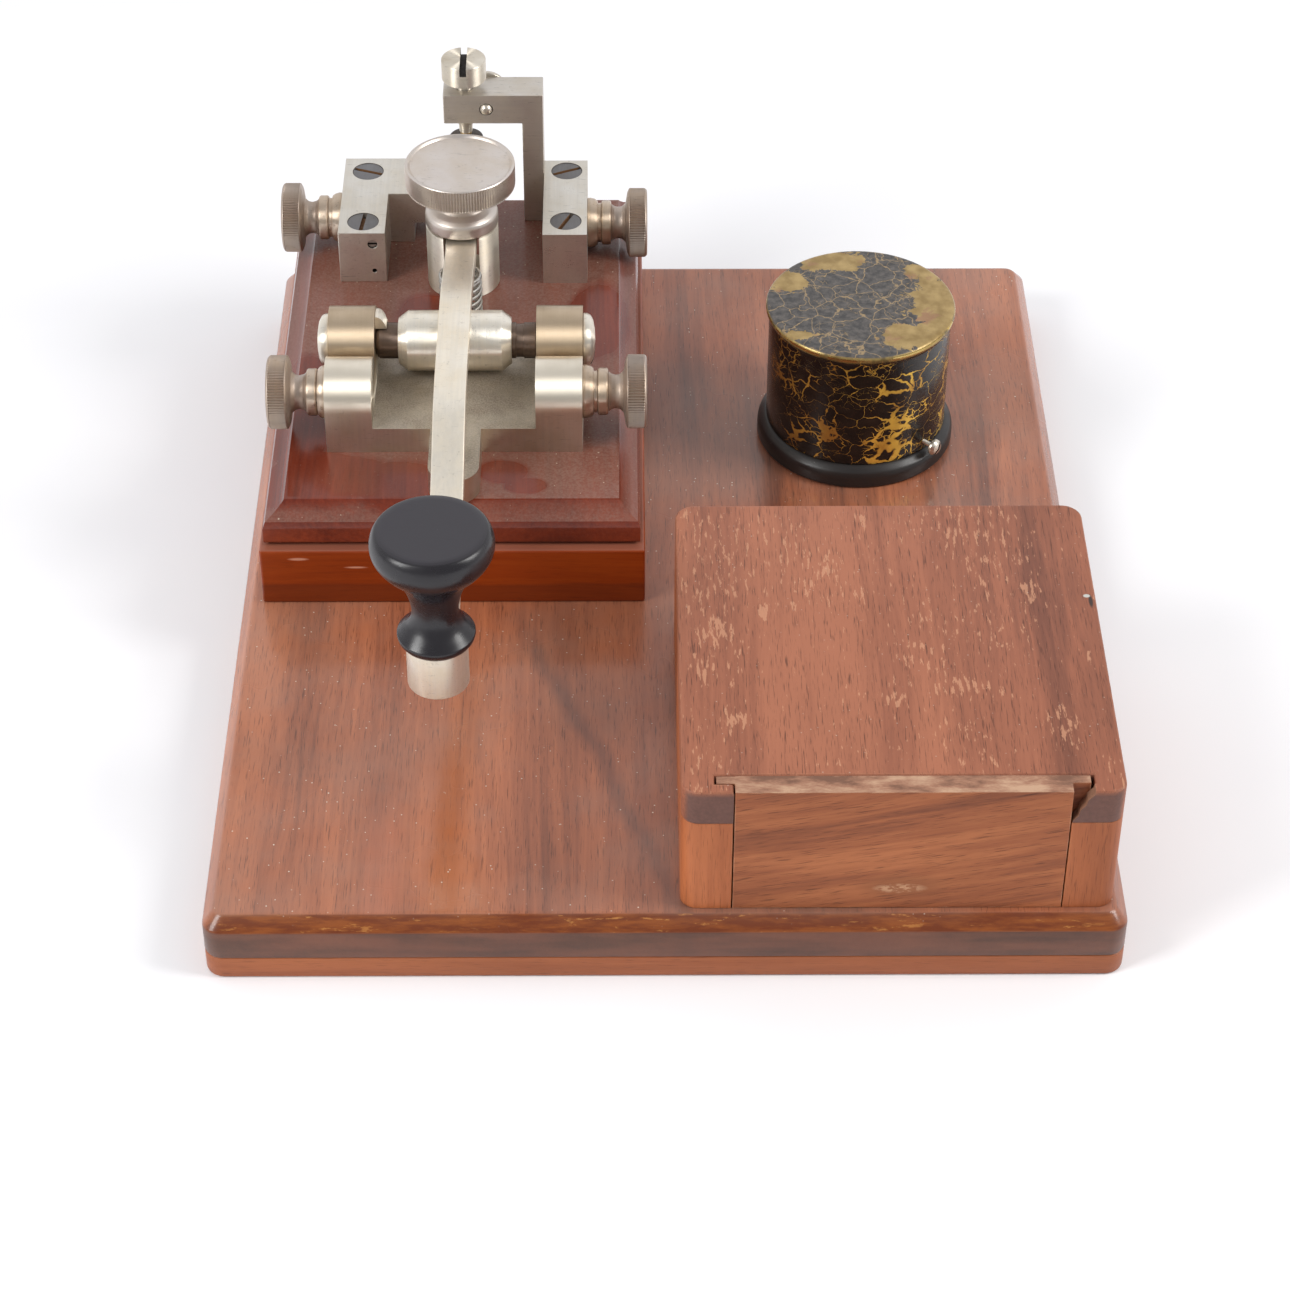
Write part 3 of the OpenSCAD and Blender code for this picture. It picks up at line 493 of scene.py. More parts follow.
def wood(name, along, pale, mid, dark, gloss=0.32, coat=0.25, band=0.05, pores=0.5, seed=0.0, dust=0.0,
        coat_rough=0.12, streak_and_reflection=None, wear=None, spec=0.3, turn=(0, 0, 0), haze=0.0):
    """Varnished wood: broad bands, fine lines, pores, scuffed edges."""
    g = Graph(name)
    src = g.map(rot=turn)
    warp = g.noise(grain_map(g, along, 0.03, 5, (seed, seed, seed), src), 1, 2, color=True)
    base = g.push(warp, 14, src)
    bands = g.noise(grain_map(g, along, band, 12, (seed * 3, seed, seed * 2), base), 1, 5, 0.62)
    lines = g.noise(grain_map(g, along, 0.7, 55, (seed, 0, 0), base), 1, 4, 0.6)
    pore = g.noise(grain_map(g, along, 4.2, 22, (seed, 3, 0), src), 1, 2, 0.5)
    blot = g.noise(grain_map(g, along, 0.02, 2, (seed * 2, 5, 1), src), 1, 3)
    v = g.add(g.mul(bands, 0.80), g.mul(lines, 0.30))
    col = g.ramp(v, (0.40, dark), (0.53, mid), (0.66, pale))
    col = g.mix(g.span(blot, 0.38, 0.66, 0, 0.45), col, toned(mid, 0.74))
    fine = g.span(pore, 0.58, 0.70, 0, pores)
    col = g.mix(fine, col, toned(dark, 0.34))
    # the board's callback adds a grain streak, a painted shade band and a painted reflection of the lever
    if streak_and_reflection:
        col = streak_and_reflection(g, col)
    rough = g.span(blot, 0.3, 0.7, gloss * 0.85, gloss * 1.25)
    if wear:
        col, rough = wear(g, col, rough)
    up = g.facing(2)
    if haze:
        film = g.mul(g.fog(0.022, 4, 0.40, 0.64, 0, haze, rough=0.6), g.span(up, 0.6, 0.9, 0, 1))
        col = g.mix(film, col, (0.30, 0.22, 0.18))
    if dust:
        near = g.fog(0.05, 2, 0.36, 0.60, 0.15, 1)
        m = g.mul(g.specks(0.50, 0.11), near)
        m = g.most(m, g.specks(0.30, 0.050))
        m = g.mul(g.mul(m, dust), g.span(up, 0.6, 0.9, 0, 1))
        col = g.mix(m, col, (0.66, 0.58, 0.48))
    h = g.add(g.mul(lines, 0.5), g.mul(fine, -0.6))
    g.set(color=col, rough=rough, normal=g.bump(h, 0.05, 0.6), coat=coat, coat_rough=coat_rough, spec=spec)
    return g.mat


def metal(name, tint, rough=0.28, dirt=(0.16, 0.13, 0.09), lines="y", scratch=0.5, stain=0.35, seed=0.0,
        ring=None, dirty=0.5, part=0.9, film=0.0):
    """Old plate: fine machining lines, a few scratches, stains and dulled patches. With film, also grit on
    the web top, a painted highlight on the front boss and painted darker, browner shade on the rear boss.
    """
    g = Graph(name)
    fine = g.noise(grain_map(g, lines, 6.0, 40, (seed, 1, 2)), 1, 3, 0.6)
    wide = g.noise(grain_map(g, lines, 1.1, 30, (seed, 4, 1)), 1, 3, 0.6)
    deep = g.noise(g.map((0.30, 3.2, 3.2), (seed, 0, 0), (12, 34, 51)), 1, 2)
    blot = g.noise(scale=0.09, detail=4, rough=0.62)
    spots = g.noise(scale=0.55, detail=4, rough=0.62)
    col = g.mix(g.span(blot, 0.38, 0.68, 0, stain), tint, toned(tint, (0.86, 0.76, 0.58)))
    col = g.mix(g.span(wide, 0.35, 0.65, 0, 0.35), col, toned(tint, 0.80))
    col = g.mix(g.span(spots, 0.62, 0.74, 0, dirty), col, dirt)
    cut_line = g.span(deep, 0.67, 0.70, 0, scratch)
    col = g.mix(cut_line, col, toned(tint, 0.45))
    # film sets the grit on the web top and also turns on the painted boss highlight and shade
    if film:
        upper_boss_shade = g.mul(g.span(g.axis(1), 23.0, 25.0, 0, 1), g.span(g.axis(2), 58, 60, 0, 1))
        near = g.mul(g.span(g.axis(1), 24.0, 22.0, 0, 1), g.span(g.axis(2), 58, 60, 0, 1))
        # painted highlight: the front (terminal) boss lightened
        col = g.mix(near, col, tuple(min(1.0, c * 1.17) for c in tint))
        # painted shade: the rear (axle) boss darker and browner
        col = g.mix(g.mul(upper_boss_shade, 0.8), col, toned(tint, (0.72, 0.59, 0.46)))
        up = g.facing(2)
        low = g.mul(g.span(g.axis(2), 54.6, 53.4, 0, 1), g.span(up, 0.5, 0.9, 0, 1))
        low = g.mul(low, g.fog(0.12, 4, 0.30, 0.60, 0.55, 1))
        grit = g.mix(g.fog(2.4, 4, 0.40, 0.60, rough=0.75), (0.105, 0.080, 0.056), (0.36, 0.29, 0.225))
        col = g.mix(g.mul(low, film), col, grit)
        part = g.span(low, 0, 1, part, 0.30)
    r = g.add(g.span(blot, 0.3, 0.7, rough * 0.8, rough * 1.35), g.span(fine, 0.3, 0.7, -0.05, 0.08))
    h = g.add(g.mul(fine, 0.5), g.mul(cut_line, -1.0))
    g.set(color=col, metal=part, rough=r, normal=g.bump(h, 0.012, 0.7))
    if ring:
        t = g.t.nodes.new("ShaderNodeTangent")
        t.direction_type = "RADIAL"
        t.axis = ring
        g.put(g.b.inputs["Tangent"], t.outputs[0])
        g.put(g.b.inputs["Anisotropic Rotation"], 0.25)
        g.set(aniso=0.95)
    return g.mat


# ---------------------------------------------------------------- materials


def board_streak_shade_and_reflection(g, col):
    """The dark grain streak that wanders through the wide board, a painted shade band between it and the
    box, a ruddy band in front of the key that is a painted reflection of the lever, and a ruddy band beside
    that.
    """
    x = g.axis(0)
    y = g.axis(1)
    wob = g.mul(g.span(g.noise(g.map((0.02, 0.03, 0.02), (2.0, 0.4, 0)), 1, 3), 0, 1, -0.5, 0.5), 10)
    at = g.add(g.add(x, wob), g.mul(y, 0.36))
    line = g.math("ABSOLUTE", g.add(at, 43.5))
    streak = g.mul(g.span(line, 0.6, 3.6, 0.42, 0), g.span(y, -20, -40, 0, 1))
    col = g.mix(streak, col, (0.075, 0.040, 0.036))
    # painted shade: a darker brown band between the streak and the box
    shade_band = g.mul(g.span(g.add(at, 36), -9, 0, 0, 0.26), g.span(g.add(at, 36), 0, 16, 1, 0))
    col = g.mix(shade_band, col, (0.14, 0.072, 0.055))
    # the band at x -51.6 is a painted reflection of the lever's dark underside, a saturated orange-brown
    # strip; the one at x -66.5 is a pinkish-orange band
    for cx, half, y0, y1, tone in ((51.6, 3.0, -66, -84, (0.34, 0.090, 0.020)),
            (66.5, 4.2, -88, -104, (0.46, 0.150, 0.075))):
        near = g.math("ABSOLUTE", g.add(g.add(x, g.mul(wob, 0.3)), cx))
        band = g.mul(g.span(near, half * 0.6, half * 1.4, 0.45, 0), g.span(y, y0, y1, 0, 1))
        col = g.mix(band, col, tone)
    return col


def board_wear(g, col, rough):
    """Amber varnish and pale bruises along the front bevel; the face under it is darker and duller."""
    y = g.axis(1)
    z = g.axis(2)
    out = g.facing(1)
    slope = g.mul(g.span(z, 14.0, 14.6, 0, 1), g.span(out, -0.3, -0.55, 0, 1))
    patch = g.noise(g.map((0.09, 0.5, 0.6)), 1, 4, 0.65)
    col = g.mix(slope, col, g.mix(g.span(patch, 0.42, 0.62), (0.15, 0.030, 0.005), (0.25, 0.064, 0.010)))
    gold = g.mul(slope, g.span(g.noise(g.map((0.13, 0.6, 0.6), (3, 1, 0)), 1, 5, 0.7), 0.60, 0.65, 0, 0.8))
    gold = g.mul(gold, g.fog(0.03, 1, 0.44, 0.52, 0.25, 1))
    col = g.mix(gold, col, (0.50, 0.21, 0.05))
    chip = g.mul(g.worn(0.7), g.fog(0.35, 3, 0.58, 0.66, 0, 0.8))
    chip = g.mul(chip, g.span(y, -132, -128, 1, 0.5))
    col = g.mix(chip, col, (0.56, 0.33, 0.20))
    low = g.span(z, 14.3, 14.6, 1, 0)
    tone = g.noise(g.map((0.022, 0.03, 0.14), (0.6, 0, 0)), 1, 3)
    col = g.mix(g.mul(low, 0.85), col, g.mix(g.span(tone, 0.38, 0.60), (0.044, 0.016, 0.008),
            (0.135, 0.044, 0.021)))
    return col, g.add(rough, g.mul(low, 0.15))


# rubbed patches on the box top: centre x, y and half sizes
SCUFFS = [(40.6, -50, 3.2, 7), (71.9, -38, 4, 6.5), (49, -33, 1.6, 4), (12.5, -74.7, 5.5, 8),
        (57.7, -85.5, 3, 3), (70.8, -94.2, 9, 4), (53.3, -99.3, 3.5, 4), (15.7, -106, 4.5, 5),
        (91.2, -108, 3.6, 8), (31.6, -64, 2, 3), (100.5, -84, 1.2, 4), (47, -61, 2, 4), (9, -88, 3, 6),
        (88, -60, 3, 5), (24, -68, 2, 4)]


def box_wear(g, col, rough):
    """Rubbed patches of short dashes along the grain, paler edges, dark end grain, a pale pin, and a small
    dark notch that is painted shade.
    """
    s = g.noise(g.map((1.15, 0.22, 0.6)), 1, 3, 0.62)
    n = g.t.nodes.new("ShaderNodeNewGeometry").outputs["Normal"]
    up = g.axis(2, n)
    area = 0.0
    for x, y, rx, ry in SCUFFS:
        q = g.spot(x, y, 54.6, rx, ry, 6, 0.55)
        area = q if area == 0.0 else g.most(area, q)
    stray = g.span(g.noise(g.map((0.045, 0.03, 0.05), (3.1, 1.7, 0)), 1, 2), 0.40, 0.60, 0.16, 0.62)
    level = g.math("SUBTRACT", 0.70, g.mul(g.most(area, stray), 0.20))
    dash = g.mul(g.math("SUBTRACT", s, level), 22, True)
    dash = g.mul(g.mul(dash, 0.72), g.span(up, 0.5, 0.9, 0, 1))
    col = g.mix(g.mul(dash, 0.85), col, (0.58, 0.285, 0.165))
    edge = g.mul(g.worn(0.7), g.fog(0.22, 3, 0.44, 0.62, 0.08, 0.8))
    col = g.mix(edge, col, (0.50, 0.25, 0.14))
    ends = g.mul(g.span(g.axis(1, n), -0.5, -0.8, 0, 1), g.span(g.axis(2), 45.0, 45.2, 0, 0.9))
    ends = g.mul(ends, g.span(g.axis(2), 53.2, 54.2, 1, 0.25))
    col = g.mix(ends, col, g.mix(g.noise(scale=1.2, detail=3), (0.085, 0.045, 0.038),
            (0.165, 0.080, 0.062)))
    # painted shade: a small dark notch near the right edge, colour only
    col = g.mix(g.spot(102.6, -63.6, 54.6, 0.5, 2.2, 2, 0.3), col, (0.05, 0.03, 0.025))
    pin = g.spot(101.8, -61.6, 54.6, 0.8, 0.6, 2, 0.2)
    return g.mix(pin, col, (0.50, 0.50, 0.46)), rough


def side_wear(g, col, rough):
    """Paler edges only."""
    edge = g.mul(g.worn(0.6), g.fog(0.22, 3, 0.46, 0.62, 0.05, 0.7))
    return g.mix(edge, col, (0.50, 0.24, 0.12)), rough


def door_wear(g, col, rough):
    """Thumb-worn bare spot low on the door, and a bare, greyed upper edge."""
    n = g.t.nodes.new("ShaderNodeNewGeometry").outputs["Normal"]
    edge = g.mul(g.worn(0.5), g.fog(0.25, 3, 0.44, 0.62, 0.05, 0.8))
    col = g.mix(edge, col, (0.60, 0.33, 0.20))
    spot = g.spot(54, -130.4, 24.4, 5.2, 3, 1.3, 0.3)
    spot = g.mul(spot, g.span(g.noise(g.map((0.5, 1, 1.2)), 1, 4, 0.65), 0.44, 0.54, 0.1, 1))
    ring = g.mul(g.spot(54.5, -130.4, 25.2, 8.5, 3, 3.4, 0.35), 0.55)
    col = g.mix(ring, col, (0.24, 0.085, 0.035))
    col = g.mix(g.mul(spot, 0.8), col, (0.58, 0.32, 0.18))
    tone = g.noise(g.map((0.085, 0.22, 0.3), (1.3, 0, 0)), 1, 5, 0.68)
    bare = g.ramp(tone, (0.38, (0.17, 0.085, 0.055)), (0.50, (0.34, 0.175, 0.110)),
            (0.64, (0.52, 0.330, 0.215)))
    return g.mix(g.span(g.axis(2, n), 0.6, 0.9, 0, 0.92), col, bare), g.add(rough, 0.1)


def key_dust(g, col, rough):
    """Grey-brown dust lying round the frame and pillars, with cleaner glossy places in front, and a painted
    shadow line in the recess under the moulding's nose.
    """
    up = g.facing(2)
    wob = g.fog(0.08, 4, 0, 1, -0.35, 0.35, rough=0.6)
    clean = g.spot(-90, -3, 46, 22, 10, 9, 0.35)
    for x, y, rx, ry in ((-66, -6, 11, 9), (-34, -7, 5, 3), (-40, -1, 6, 4.5), (-93, 25, 9, 22),
            (-16, 66, 8, 16), (-62, 66, 8, 12)):
        clean = g.most(clean, g.spot(x, y, 46, rx, ry, 9, 0.4))
    lay = g.span(g.add(g.math("SUBTRACT", 0.8, clean), wob), 0.30, 0.62, 0.10, 0.95)
    lay = g.mul(lay, g.span(up, 0.55, 0.98, 0.10, 1))
    grit = g.fog(1.6, 3, 0.40, 0.65, 0.45, 1, rough=0.7)
    col = g.mix(g.mul(g.mul(lay, grit), 0.80), col, (0.255, 0.145, 0.110))
    s = g.mul(g.most(g.specks(0.5, 0.10), g.specks(0.22, 0.06)), g.mul(lay, 0.9))
    col = g.mix(g.mul(s, g.span(up, 0.6, 0.9, 0, 1)), col, (0.64, 0.55, 0.42))
    # painted shadow: near-black in the undercut under the moulding's nose
    low = g.mul(g.span(g.axis(2), 35.7, 36.6, 1, 0), 0.75)
    col = g.mix(low, col, (0.06, 0.014, 0.006))
    return col, g.add(rough, g.mul(lay, 0.28))


def block_wear(g, col, rough):
    """Small bare dents on the block's front, a darker band low down, a dusty top ledge."""
    z = g.axis(2)
    up = g.facing(2)
    dents = g.most(g.spot(-92, -19.7, 32.4, 2.2, 2, 0.4, 0.4), g.spot(-77.5, -19.7, 29.7, 2.4, 2, 0.3, 0.4))
    col = g.mix(g.mul(dents, 0.8), col, (0.62, 0.30, 0.20))
    edge = g.mul(g.worn(0.5), g.fog(0.20, 3, 0.48, 0.60, 0.1, 0.75))
    col = g.mix(edge, col, (0.46, 0.17, 0.10))
    col = g.mix(g.span(g.add(z, g.mul(g.noise(scale=0.05), 2)), 24.6, 25.6, 0.38, 0), col,
            (0.075, 0.018, 0.009))
    col = g.mix(g.span(up, 0.6, 0.9, 0, 0.5), col, (0.30, 0.15, 0.11))
    return col, rough


def veins(g, vec, k, thick):
    """1 along the borders of warped cells of scale k, thick in cell units."""
    return g.math("SUBTRACT", 1.0, g.math("DIVIDE", g.cells(vec, k, "DISTANCE_TO_EDGE"), thick), True)


def crackle(name):
    """Black varnish shrunk into flowing islands over gold, bare in places on the top. The side veins' gold
    is painted bright yellow toward the front-right as a painted highlight and dark copper toward the
    back-left as painted shade.
    """
    g = Graph(name)
    z = g.axis(2)
    up = g.facing(2)
    top = g.span(up, 0.4, 0.8, 0, 1)
    flow = g.p
    for k, reach in ((0.10, 7.0), (0.45, 1.5)):
        flow = g.push(g.noise(scale=k, detail=3, rough=0.6, color=True), reach, flow)
    wide = g.map((1, 1, 1.5), vec=flow)
    width = g.noise(scale=0.085, detail=2, rough=0.5)
    front = g.span(g.add(g.mul(g.axis(0), 0.8), g.mul(g.axis(1), -0.5)), 0, 30, 0, 1)
    thick = g.mul(g.span(width, 0.50, 0.70, 0.012, 0.22), g.span(front, 0, 1, 0.50, 1))
    thick = g.mul(thick, g.span(z, 46, 54, 1, 0.30))
    big = veins(g, wide, 0.145, thick)
    small = veins(g, wide, 0.34, g.span(width, 0.48, 0.68, 0.006, 0.10))
    small = g.mul(small, g.fog(0.14, 1, 0.42, 0.56, 0, 0.9))
    side = g.mul(g.most(big, small), g.span(z, 47, 55, 1, 0.55))
    fine = g.mul(veins(g, flow, 0.33, 0.032), g.fog(0.10, 1, 0.46, 0.58, 0, 0.8))
    flat = g.most(veins(g, flow, 0.155, 0.030), fine)
    glow = g.fog(0.12, 2, 0.35, 0.6, 0.25, 1)
    # painted highlight and shade: vein gold bright yellow toward the front-right, dark copper toward the
    # back-left
    lit_vein_gold = g.mix(g.mul(front, glow), (0.28, 0.12, 0.030), (0.86, 0.58, 0.10))
    ink = g.span(side, 0.16, 0.34, 0, 1)
    gold_side = g.mix(g.span(side, 0.2, 0.55), (0.16, 0.062, 0.012), lit_vein_gold)
    black = g.mix(g.fog(0.3, 3, 0.4, 0.7, 0, 0.8), (0.006, 0.0055, 0.005), (0.020, 0.014, 0.010))
    col_side = g.mix(ink, black, gold_side)
    bare = 0.0
    for x, y, rx, ry in ((47, 73, 10, 4.6), (34.5, 63.5, 6, 4.5), (74.5, 52, 7.2, 19), (66, 38, 8, 5.5),
            (37, 39, 5, 2), (71, 68, 5, 4)):
        q = g.spot(x, y, 60.1, rx, ry, 3, 0.45)
        bare = q if bare == 0.0 else g.most(bare, q)
    rag = g.span(g.noise(flow, scale=0.30, detail=5, rough=0.65), 0.3, 0.7, -0.50, 0.50)
    bare = g.span(g.add(bare, rag), 0.46, 0.52, 0, 1)
    gold_top = g.mix(g.fog(0.25, 4, 0.36, 0.66), (0.30, 0.20, 0.075), (0.47, 0.33, 0.14))
    red = g.span(g.noise(g.map(loc=(4, 2, 0)), scale=0.13, detail=4, rough=0.6), 0.56, 0.64, 0, 0.7)
    gold_top = g.mix(red, gold_top, (0.33, 0.165, 0.105))
    haze = g.fog(0.5, 4, 0.38, 0.72, 0.15, 0.75, rough=0.65)
    slate = g.mix(haze, (0.026, 0.026, 0.028), (0.170, 0.150, 0.135))
    col_top = g.mix(g.span(flat, 0.2, 0.75, 0, 0.8), slate, (0.36, 0.25, 0.125))
    col_top = g.mix(bare, col_top, gold_top)
    lip = g.mul(g.span(z, 57.4, 58.4, 0, 1), g.math("SUBTRACT", 1.0, top))
    lip = g.mul(lip, g.fog(0.22, 4, 0.38, 0.50, 0.25, 1))
    col = g.mix(top, col_side, col_top)
    col = g.mix(lip, col, g.mix(glow, (0.26, 0.16, 0.05), (0.62, 0.45, 0.16)))
    m = g.mix(top, g.mul(ink, 0.55), g.mul(bare, 0.55))
    m = g.most(m, g.mul(lip, 0.9))
    rough = g.mix(top, g.math("SUBTRACT", 0.24, g.mul(lip, 0.05)),
            g.math("SUBTRACT", 0.50, g.mul(bare, 0.12)))
    g.set(color=col, metal=m, rough=rough, spec=0.4, normal=g.bump(g.add(g.mul(m, -1.0),
            g.noise(scale=0.8, detail=3)), 0.08, 0.5))
    return g.mat


def ebonite(name, tint=(0.010, 0.010, 0.012), rough=0.20, dust=0.12, spec=0.5, pale=2.0):
    """Polished black, with a breath of dust and hairline scratches."""
    g = Graph(name)
    hair = g.noise(g.map((0.5, 7.0, 7.0), rot=(20, 50, 35)), 1, 2)
    blot = g.noise(scale=0.12, detail=3)
    col = g.mix(g.mul(g.specks(0.35, 0.05), dust), tint, (0.45, 0.44, 0.43))
    up = g.facing(2)
    col = g.mix(g.mul(g.span(up, 0.9, 0.99, 0, 0.5), g.span(blot, 0.2, 0.7, 0.6, 1)), col,
            toned(tint, pale))
    r = g.add(g.span(blot, 0.3, 0.7, rough * 0.8, rough * 1.3), g.span(hair, 0.62, 0.68, 0, 0.12))
    r = g.add(r, g.span(up, 0.9, 0.99, 0, 0.12))
    g.set(color=col, rough=r, spec=spec, normal=g.bump(hair, 0.01, 0.4))
    return g.mat


def plain(name, tint, metal_part=0.0, rough=0.5, grain=0.4):
    """Hidden and small parts: even colour with a light mottle."""
    g = Graph(name)
    n = g.noise(scale=grain, detail=4, rough=0.6)
    col = g.mix(g.span(n, 0.35, 0.7, 0, 0.5), tint, toned(tint, 0.62))
    g.set(color=col, metal=metal_part, rough=g.span(n, 0.3, 0.7, rough * 0.8, min(1.0, rough * 1.2)),
            normal=g.bump(n, 0.03, 0.3))
    return g.mat


# the materials, each with its pale, middle and dark tone or its plate colour
BOARD_UP = wood("board_wood", "y", (0.49, 0.168, 0.076), (0.345, 0.115, 0.056), (0.165, 0.058, 0.034),
        0.26, 0.45, 0.045, 0.6, 1.3, 0.95, 0.14, board_streak_shade_and_reflection, board_wear, spec=0.32, haze=0.28)
BOARD_LOW = wood("board_low_wood", "x", (0.41, 0.125, 0.045), (0.32, 0.090, 0.032),
        (0.21, 0.056, 0.024), 0.38, 0.15, 0.05, 0.4, 5.1)
RED = wood("mahogany", "y", (0.27, 0.042, 0.012), (0.19, 0.026, 0.008), (0.11, 0.014, 0.005), 0.20,
        0.28, 0.04, 0.3, 7.7, 0.0, 0.12, None, key_dust)
RED_SIDE = wood("mahogany_block", "x", (0.36, 0.060, 0.006), (0.28, 0.040, 0.004), (0.18, 0.023, 0.003),
        0.30, 0.12, 0.05, 0.25, 2.7, 0.0, 0.15, None, block_wear, spec=0.20)
BOX = wood("box_wood", "y", (0.41, 0.150, 0.082), (0.31, 0.109, 0.061), (0.18, 0.064, 0.039), 0.46,
        0.05, 0.045, 0.7, 3.4, 0.35, 0.25, None, box_wear, spec=0.25)
BOX_SIDE = wood("box_side_wood", "z", (0.49, 0.152, 0.055), (0.40, 0.118, 0.042), (0.28, 0.080, 0.030),
        0.44, 0.05, 0.10, 0.5, 6.2, 0.0, 0.2, None, side_wear, spec=0.25)
DOOR = wood("door_wood", "x", (0.47, 0.160, 0.062), (0.34, 0.106, 0.042), (0.165, 0.050, 0.025), 0.44,
        0.05, 0.14, 0.6, 8.3, 0.0, 0.2, None, door_wear, spec=0.25, turn=(0, 11, 0))
NICKEL = metal("nickel", (0.70, 0.645, 0.555), 0.30, lines="x", seed=0.4)
# film also paints a highlight on the front boss and shade on the rear boss
NICKEL_F = metal("nickel_frame", (0.76, 0.695, 0.585), 0.42, lines="X", seed=3.4, stain=0.5,
        scratch=0.35, dirty=0.3, film=0.75, ring="X")
NICKEL_B = metal("nickel_blocks", (0.72, 0.685, 0.625), 0.34, lines="y", seed=7.4, stain=0.35,
        scratch=0.5, dirty=0.3)
NICKEL_T = metal("nickel_turned", (0.96, 0.905, 0.80), 0.33, lines="X", seed=1.4, dirty=0.3, ring="X")
NICKEL_Z = metal("nickel_upright", (0.82, 0.76, 0.66), 0.42, lines="Z", seed=2.9, dirty=0.35, ring="Z")
LEVER_M = metal("lever_plate", (0.94, 0.87, 0.75), 0.36, lines="y", seed=5.4, scratch=0.2, dirty=0.35)
BROWNED = metal("browned_plate", (0.50, 0.415, 0.355), 0.42, (0.20, 0.14, 0.10), lines="X", seed=2.2,
        stain=0.5, dirty=0.5)
FERRULE = metal("nickel_ferrule", (0.84, 0.79, 0.70), 0.32, lines="z", seed=12.3, stain=0.6, dirty=0.4,
        part=0.75)
ARM = metal("nickel_arm", (0.64, 0.60, 0.55), 0.36, lines="x", seed=9.2, stain=0.4, dirty=0.4)
TERM = metal("terminal_metal", (0.66, 0.545, 0.44), 0.36, (0.16, 0.10, 0.07), lines="X", seed=4.7,
        stain=0.6, dirty=0.7, ring="X")
AXLE = metal("axle_steel", (0.21, 0.155, 0.125), 0.42, (0.10, 0.07, 0.05), lines="X", seed=6.6,
        stain=0.6, ring="X")
DARK = metal("dark_steel", (0.10, 0.085, 0.075), 0.45, (0.05, 0.035, 0.03), seed=6.1)
BLUED = metal("blued_steel", (0.205, 0.200, 0.205), 0.40, (0.12, 0.07, 0.04), seed=3.1, dirty=0.5)
RUST = plain("rusty_slot", (0.20, 0.095, 0.035), 0.0, 0.75, 0.9)
STEEL = metal("steel", (0.50, 0.49, 0.46), 0.32, seed=4.1)
BRASS = metal("brass", (0.60, 0.42, 0.18), 0.32, seed=8.1)
BLACK = ebonite("black_gloss", (0.012, 0.0105, 0.0135), 0.27, pale=3.2)
BLACK_BASE = ebonite("black_base", (0.020, 0.017, 0.016), 0.34, 0.3, 0.4)
CRACKLE = crackle("crackle")
GREEN = plain("coil_wrap", (0.05, 0.17, 0.07), 0, 0.6, 0.8)
CARD = plain("battery_card", (0.16, 0.20, 0.30), 0, 0.7, 0.3)
# near-black painted shade for the inside of screw slots and small holes
SLOT_SHADE = plain("slot_shade", (0.030, 0.022, 0.017), 0.3, 0.6, 0.9)
RAW = plain("raw_wood", (0.27, 0.13, 0.075), 0.0, 0.7, 0.8)
KNOB_M = metal("knob_plate", (0.69, 0.63, 0.585), 0.36, (0.22, 0.18, 0.15), lines="Z", seed=9.2,
        stain=0.35, dirty=0.35)

# ---------------------------------------------------------------- boards


def boards():
    """The two layers of the big board, with worn and bevelled rims."""
    def stack(x, y, rows, r):
        return [(round_rect(-x + i, x - i, -y + i, y - i, max(0.6, r - i * 0.6)), z) for i, z in rows]
    low = [(0.9, 0.0), (0.35, 0.15), (0.08, 0.5), (0.0, 0.95), (0.0, 5.9), (0.08, 6.2), (0.30, 6.36)]
    layers("board_low_piece", stack(107.5, 134.8, low, 4.5), BOARD_LOW, "board", ["board_lower"])
    up = [(0.30, 6.42), (0.08, 6.6), (0.0, 6.9), (0.0, 14.1), (0.06, 14.45), (0.30, 14.85),
            (2.45, 17.42), (2.85, 17.80), (3.30, 17.96), (3.9, 18.0)]
    layers("board_up_piece", stack(107.5, 134.8, up, 4.5), BOARD_UP, "board", ["board_upper"])


def rect(x0, x1, y0, y1, i):
    """Corners of a rectangle drawn i mm inside."""
    return [(x0 + i, y0 + i), (x1 - i, y0 + i), (x1 - i, y1 - i), (x0 + i, y1 - i)]


def key_base():
    """The lower block, and the moulding above it with its cove."""
    brick("key_block_piece", -101.9, -3.9, -19.7, 133, 18, 35.0, RED_SIDE, "board", ["key_base_block"],
            0.7)
    prof = [(1.1, 35.0), (0.9, 35.5), (0.35, 35.75), (0.0, 36.1), (0.0, 40.2), (0.15, 40.75), (0.65, 42.1)]
    cx, cz, r = -5.32, 54.77, 14.0
    a0 = math.degrees(math.atan2(42.1 - cz, 0.65 - cx))
    a1 = math.degrees(math.atan2(46.0 - cz, 5.6 - cx))
    for k in range(1, 9):
        a = math.radians(a0 + (a1 - a0) * k / 8)
        prof.append((cx + r * math.cos(a), cz + r * math.sin(a)))
    prof[-1] = (5.35, 45.85)
    prof += [(5.7, 45.97), (6.4, 46.0)]
    layers("key_moulding_piece", [(rect(-100.7, -5.1, -17.4, 130.7, i), z) for i, z in prof], RED,
            "board", ["key_base_moulding"], 28)


# outer faces of the two posts, the axle's line, and the front terminals' line
TX0, TX1 = -85.6, -19.8
AY, AZ = 34.5, 61.7
POST_Y, POST_Z = 16.3, 58.5
# top of the web between the posts, and of the two rear blocks
WEB_Z = 53.4
BLOCK_Z = 61.8
# the knob, the spring barrel, the overhead contact screw and the clamp screw
KNOB_Y = -86
BARREL_Y = 85.5
STOP_X, STOP_Y = -52.8, 119.5
CLAMP_X, CLAMP_Z = -46.8, 82.3


